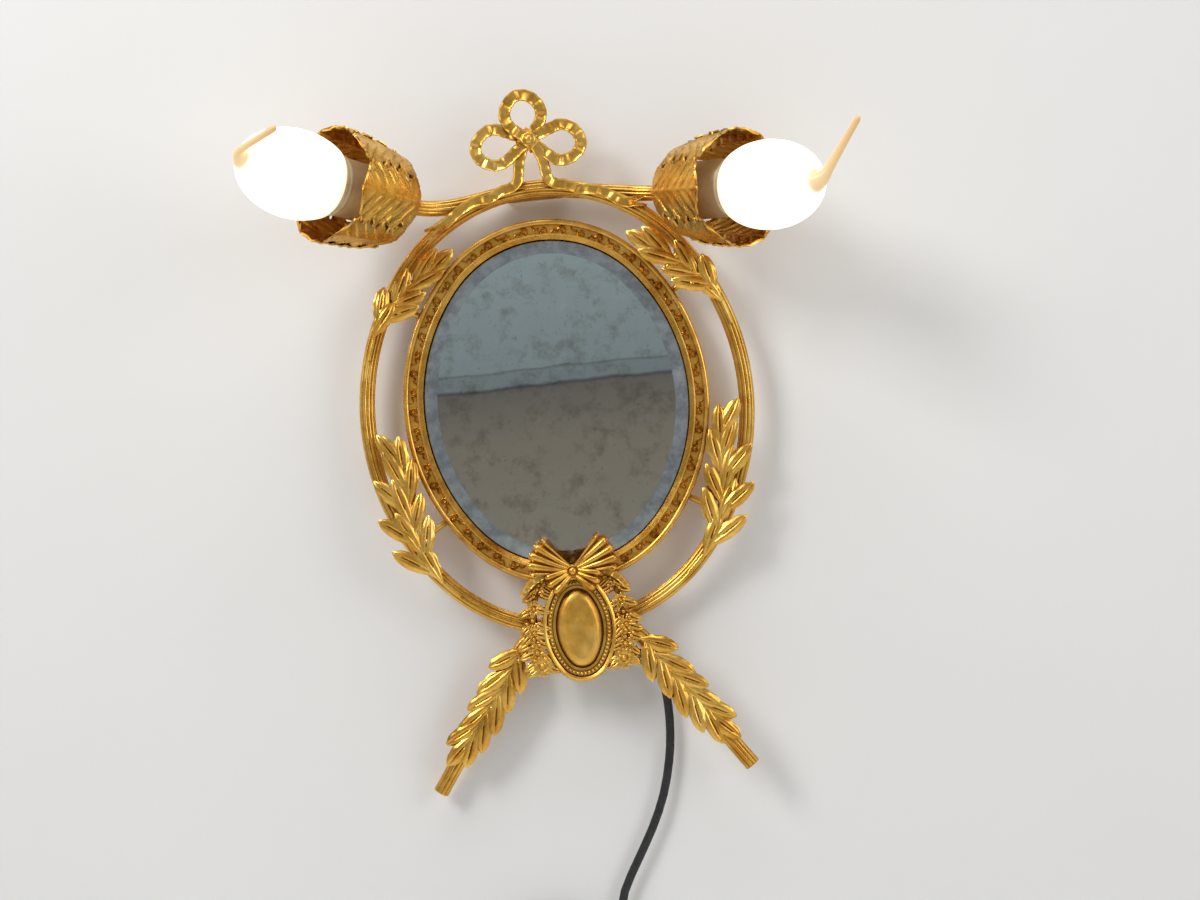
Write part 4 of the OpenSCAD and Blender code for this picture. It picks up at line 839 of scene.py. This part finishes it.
# Brass and small fittings: turn buttons, screws, hanging plate, junction box, terminal block and wires.
brass = speckled("turned_brass", (0.5, 0.36, 0.16), (0.72, 0.55, 0.28), 120, 0.24, 0.42, 1.0)
dull_brass = speckled("sheet_brass", (0.4, 0.3, 0.15), (0.6, 0.46, 0.24), 70, 0.38, 0.6, 1.0)
for name in ("crossing_bolt", "button_screws", "hanging_plate", "hanging_screws", "junction_screws",
             "left_locknut", "right_locknut", "left_thread_shell", "right_thread_shell", "upper_left_button",
             "upper_right_button", "lower_left_button", "lower_right_button"):
    dress(nodes[name], brass)
for name in ("junction_box", "junction_cover"):
    dress(nodes[name], dull_brass)
steatite = speckled("steatite", (0.62, 0.58, 0.5), (0.78, 0.74, 0.66), 90, 0.5, 0.7)
dress(nodes["terminal_block"], steatite)
for name in ("left_wire", "right_wire"):
    dress(nodes[name], cord_rubber)

# Lampholders in aged cream plastic with a ringed collar at the mouth.
cream = speckled("aged_cream", (0.62, 0.50, 0.30), (0.78, 0.68, 0.46), 60, 0.3, 0.45)
for side in ("left", "right"):
    for name in ("holder_base", "holder_insert", "holder_skirt", "shade_ring"):
        dress(nodes[f"{side}_{name}"], cream)

# Leaf cups: six thin chased leaves in two rows round each lampholder, veined and serrated, with their
# tips turned outwards. The lobes are heights along a leaf and its half widths there.
cup_r, cup_length, cup_shoulder, cup_flare = 29, 50, 9, 3
cup_lobes = [[-1, 9], [3, 15.5], [9, 12.5], [15, 19.5], [21, 15], [28, 20], [33, 16.5], [39, 18.5],
             [43, 16.5], [47, 12], [50, 2]]
vein_starts, vein_angle, vein_rise = (4, 11, 18, 25, 32, 39), math.radians(52), 0.95
cup_leaf_t, cup_floor_t, row_gap, first_leaf = 1.1, 1.4, 1.3, 20


def cup_line(out):
    """Radii and heights of the cup's outline, a distance out from its own wall."""
    line = [(cup_r * 0.5, 0.0)]
    for k in range(-80, 1, 8):
        a = math.radians(k)
        line.append((cup_r - cup_flare - cup_shoulder + (cup_shoulder + out) * math.cos(a),
                     cup_shoulder + (cup_shoulder + out) * math.sin(a)))
    return line + [(cup_r + out, cup_length * 0.5), (cup_r + out + 2, cup_length)]


def cup_radius(out, height):
    """The outline's radius at a height."""
    line = cup_line(out)
    for (r0, h0), (r1, h1) in zip(line, line[1:]):
        if height <= h1:
            return r0 + (r1 - r0) * max(0, (height - h0)) / max(h1 - h0, 1e-6)
    return line[-1][0]


def lobe_width(height):
    """A leaf's half width at a height along it, eased from lobe to lobe."""
    for (h0, w0), (h1, w1) in zip(cup_lobes, cup_lobes[1:]):
        if height <= h1:
            t = (height - h0) / (h1 - h0)
            return w0 + (w1 - w0) * (0.5 - 0.5 * math.cos(math.pi * t))
    return 0.4


def cup_leaf(out, turn):
    """One leaf, wrapped round the cup, with a midrib, slanting veins and scalloped, curled edges."""
    leaf = added(bpy.ops.mesh.primitive_grid_add, x_subdivisions=44, y_subdivisions=64, size=2)
    for vertex in leaf.data.vertices:
        t, v = (vertex.co.y + 1) / 2, vertex.co.x
        spine = cup_length * t
        # The serration leans towards the tip, further out along the edge
        height = min(spine + 5.5 * abs(v) ** 1.6 * (1 - t) * 0.9, cup_length)
        tooth = 1 + 0.05 * math.sin(spine * 1.7) * abs(v) ** 6
        x = v * lobe_width(spine) * tooth
        r = cup_radius(out, height)
        relief = vein_rise * math.exp(-(x / 0.9) ** 2) * (1 - 0.5 * t)
        for start in vein_starts:
            along = (spine - start) * math.cos(vein_angle) + abs(x) * math.sin(vein_angle)
            off = abs(x) * math.cos(vein_angle) - (spine - start) * math.sin(vein_angle)
            if along > 0:
                relief += vein_rise * math.exp(-(off / 0.75) ** 2) * min(1, abs(x) / 2)
        relief += 0.34 * math.sin(2.4 * (abs(x) * 0.8 - spine * 1.25)) * min(1, abs(v) * 1.4)
        curl = 1.5 * abs(v) ** 5 * (1 if t > 0.1 else t * 10) + 3.2 * max(0, t - 0.82) ** 1.4 * 6
        r += relief * 0.75 + curl * 0.75
        angle = math.asin(max(-0.98, min(0.98, x / r)))
        vertex.co = Vector((r * math.cos(angle), r * math.sin(angle), height))
    thickened(leaf, cup_leaf_t)
    leaf.data.transform(Matrix.Rotation(math.radians(turn), 4, "Z"))
    return leaf


for layer in (1, -1):
    parts = [added(bpy.ops.mesh.primitive_cylinder_add, vertices=48, radius=cup_r * 0.62, depth=cup_floor_t,
                   location=(0, 0, cup_floor_t / 2))]
    for k in range(3):
        parts.append(cup_leaf(0, 120 * k + first_leaf))
        parts.append(cup_leaf(row_gap, 120 * (k + 0.5) + first_leaf))
    cup = joined(parts, sides[layer] + "_cup_leaves")
    tip = arm_tip(layer)
    for vertex in cup.data.vertices:
        p = vertex.co
        vertex.co = from_place(layer, tip, p.x, p.y, p.z + seat)
    tidy_skin(cup, 60)
    dress(cup, burnished)
    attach(cup, "fixed_parts")
    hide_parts(sides[layer] + "_leaf_cup")

# Bulbs: etched opal glass, lit, with a long drawn tip that bends like a flame in the wind, on a rolled cap.
# Heights are from the arm's tip, and a second map, "reach", runs from 0 at the neck to 1 at the tip.
bulb_r, bulb_half, mouth_z, neck_r, root_r, tip_r, bulb_sides = 25.5, 37, 50.2, 12.1, 6.9, 1.9, 40
belly_low, belly_high, belly_step, bend_steps, straight_steps = -36, 74, 4, 11, 9
bulb_mid = mouth_z + bulb_half * 0.62
cap_top = mouth_z - 3
neck_line = ((cap_top - 8, neck_r), (cap_top - 2, neck_r), (cap_top + 1, neck_r), (mouth_z + 0.5, 12.3),
             (mouth_z + 0.7, 13.0), (mouth_z + 0.8, 17.6))


def lit_opal_glass():
    """White glass that glows along its belly and turns amber in its drawn tip."""
    material, tree, shader = new_material("lit_opal_glass", (0.96, 0.93, 0.88), 0.35)
    shader.inputs["Emission Color"].default_value = (1.0, 0.80, 0.55, 1)
    where = tree.nodes.new("ShaderNodeUVMap")
    where.uv_map = "reach"
    along = split_up(tree, where.outputs["UV"])["X"]
    strength = tree.nodes.new("ShaderNodeMath")
    strength.operation = "MULTIPLY"
    strength.inputs[1].default_value = 4.0
    glow = ramp(tree, along, [(0.0, grey(0.01)), (0.1, grey(0.2)), (0.16, grey(0.32)), (0.4, grey(0.3)),
                              (0.5, grey(0.06)), (0.95, grey(0.02))])
    tree.links.new(glow, strength.inputs[0])
    tree.links.new(strength.outputs["Value"], shader.inputs["Emission Strength"])
    amber = ramp(tree, along, [(0.4, (0.96, 0.93, 0.88)), (0.52, (0.86, 0.60, 0.30)),
                               (0.95, (0.80, 0.50, 0.20))])
    tree.links.new(amber, shader.inputs["Base Color"])
    return material


def bulb_outline(turn, bend, tip_length, taper):
    """Places [point, radius, reach] from the neck over the belly to the end of the tip.

    The tip bends by a turn in degrees, at a bend's radius, and narrows by a power of its length."""
    places = [(Vector((0, 0, z)), r, 0.0) for z, r in neck_line]
    for k in range(belly_low, belly_high, belly_step):
        a = math.radians(k)
        places.append((Vector((0, 0, bulb_mid + bulb_half * math.sin(a))), bulb_r * math.cos(a),
                       0.1 + 0.3 * (k - belly_low) / (belly_high - belly_low)))
    foot = bulb_mid + bulb_half - 1.8
    tip_line = []
    for k in range(1, bend_steps + 1):
        a = math.radians(turn) * k / bend_steps
        tip_line.append(Vector((bend * (1 - math.cos(a)), 0, foot + bend * math.sin(a))))
    straight = tip_length - bend * math.radians(turn)
    way = Vector((math.sin(math.radians(turn)), 0, math.cos(math.radians(turn))))
    tip_line += [tip_line[-1] + way * straight * k / straight_steps for k in range(1, straight_steps + 1)]
    for k, p in enumerate(tip_line):
        share = (k + 1) / len(tip_line)
        places.append((p, tip_r + (root_r - tip_r) * (1 - share) ** taper, 0.45 + 0.5 * share))
    for k in (30, 60, 85):
        a = math.radians(k)
        places.append((tip_line[-1] + way * tip_r * math.sin(a), tip_r * math.cos(a), 0.95))
    return places


lit_glass = lit_opal_glass()
cap_metal = speckled("cap_metal", (0.5, 0.48, 0.44), (0.72, 0.7, 0.66), 150, 0.25, 0.4, 1.0)
for layer, turn, clock, bend, tip_length, taper in ((1, 108, 120, 6, 33, 5), (-1, 60, 186, 10, 43, 1.9)):
    tip = arm_tip(layer)
    about = Matrix.Rotation(math.radians(clock), 3, "Z")
    line, radii, reach = zip(*bulb_outline(turn, bend, tip_length, taper))
    rings = []
    for i, p in enumerate(line):
        side = Vector((0, 1, 0))
        front = side.cross(heading_at(line, i))
        ring = [about @ q for q in ring_round(p, radii[i] * front, radii[i] * side, bulb_sides)]
        rings.append([from_place(layer, tip, q.x, q.y, q.z) for q in ring])
    bulb = ring_mesh(sides[layer] + "_bulb", rings)
    bulb.data.uv_layers.new(name="reach")
    layer_uv = bulb.data.uv_layers["reach"].data
    for loop in bulb.data.loops:
        layer_uv[loop.index].uv = (reach[min(loop.vertex_index // bulb_sides, len(reach) - 1)], 0)
    subdivide = bulb.modifiers.new("rounder", "SUBSURF")
    subdivide.levels = subdivide.render_levels = 1
    only(bulb)
    bpy.ops.object.modifier_apply(modifier="rounder")
    dress(bulb, lit_glass)
    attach(bulb, sides[layer] + "_bulb")
    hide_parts(sides[layer] + "_bulb_glass")
    dress(nodes[sides[layer] + "_bulb_cap"], cap_metal)


# Studio: a pale wall behind and a pale floor below, a soft light from the upper left, weaker ones from the
# right and above, one behind the wall and an even pale surround.
def soft_light(name, place, target, size, energy):
    light = bpy.data.lights.new(name, "AREA")
    light.shape = "RECTANGLE"
    light.size, light.size_y = size
    light.energy = energy
    obj = bpy.data.objects.new(name, light)
    obj.location = place
    obj.rotation_euler = (Vector(target) - Vector(place)).to_track_quat("-Z", "Y").to_euler()
    bpy.context.scene.collection.objects.link(obj)


def studio_plane(name, material, place, tipped=0):
    bpy.ops.object.select_all(action="DESELECT")
    bpy.ops.mesh.primitive_plane_add(size=6, location=place, rotation=(math.radians(tipped), 0, 0))
    plane = bpy.context.view_layer.objects.active
    plane.name = name
    plane.data.materials.append(material)
    return plane


soft_light("key", (-1.2, -1.4, 1.1), (0, 0, -0.15), (0.6, 0.8), 22)
soft_light("fill", (1.4, -1.2, 0.2), (0, 0, -0.15), (0.8, 1.2), 7)
soft_light("top", (0.1, -0.5, 1.3), (0, 0, -0.1), (1.2, 0.5), 7)

backdrop_paint, tree, shader = new_material("backdrop_paint", (0.78, 0.77, 0.75), 0.9)
tree.links.new(ramp(tree, noise(tree, 2.5, 2.0), [(0.3, (0.77, 0.76, 0.74)), (0.7, (0.8, 0.79, 0.77))]),
               shader.inputs["Base Color"])
backdrop = studio_plane("backdrop", backdrop_paint, (0, 0.003, 0), 90)
# Seen from behind, the wall is clear, and a lamp of its own lights the piece's back
behind = tree.nodes.new("ShaderNodeNewGeometry")
clear = tree.nodes.new("ShaderNodeBsdfTransparent")
either = tree.nodes.new("ShaderNodeMixShader")
tree.links.new(behind.outputs["Backfacing"], either.inputs["Fac"])
tree.links.new(shader.outputs["BSDF"], either.inputs[1])
tree.links.new(clear.outputs["BSDF"], either.inputs[2])
tree.links.new(either.outputs["Shader"], tree.nodes["Material Output"].inputs["Surface"])
backdrop.visible_shadow = False
soft_light("back", (-0.7, 1.5, 0.5), (0, 0, -0.2), (1.0, 1.0), 14)
floor_paint, tree, shader = new_material("floor_paint", (0.8, 0.79, 0.77), 0.8)
tree.links.new(ramp(tree, noise(tree, 4, 3.0), [(0.3, (0.79, 0.78, 0.76)), (0.7, (0.82, 0.81, 0.79))]),
               shader.inputs["Base Color"])
floor = studio_plane("floor", floor_paint, (0, 0, -1.0))

world = bpy.data.worlds.new("studio")
bpy.context.scene.world = world
world.use_nodes = True
background = world.node_tree.nodes["Background"]
background.inputs["Color"].default_value = (0.9, 0.92, 0.95, 1)
background.inputs["Strength"].default_value = 0.42
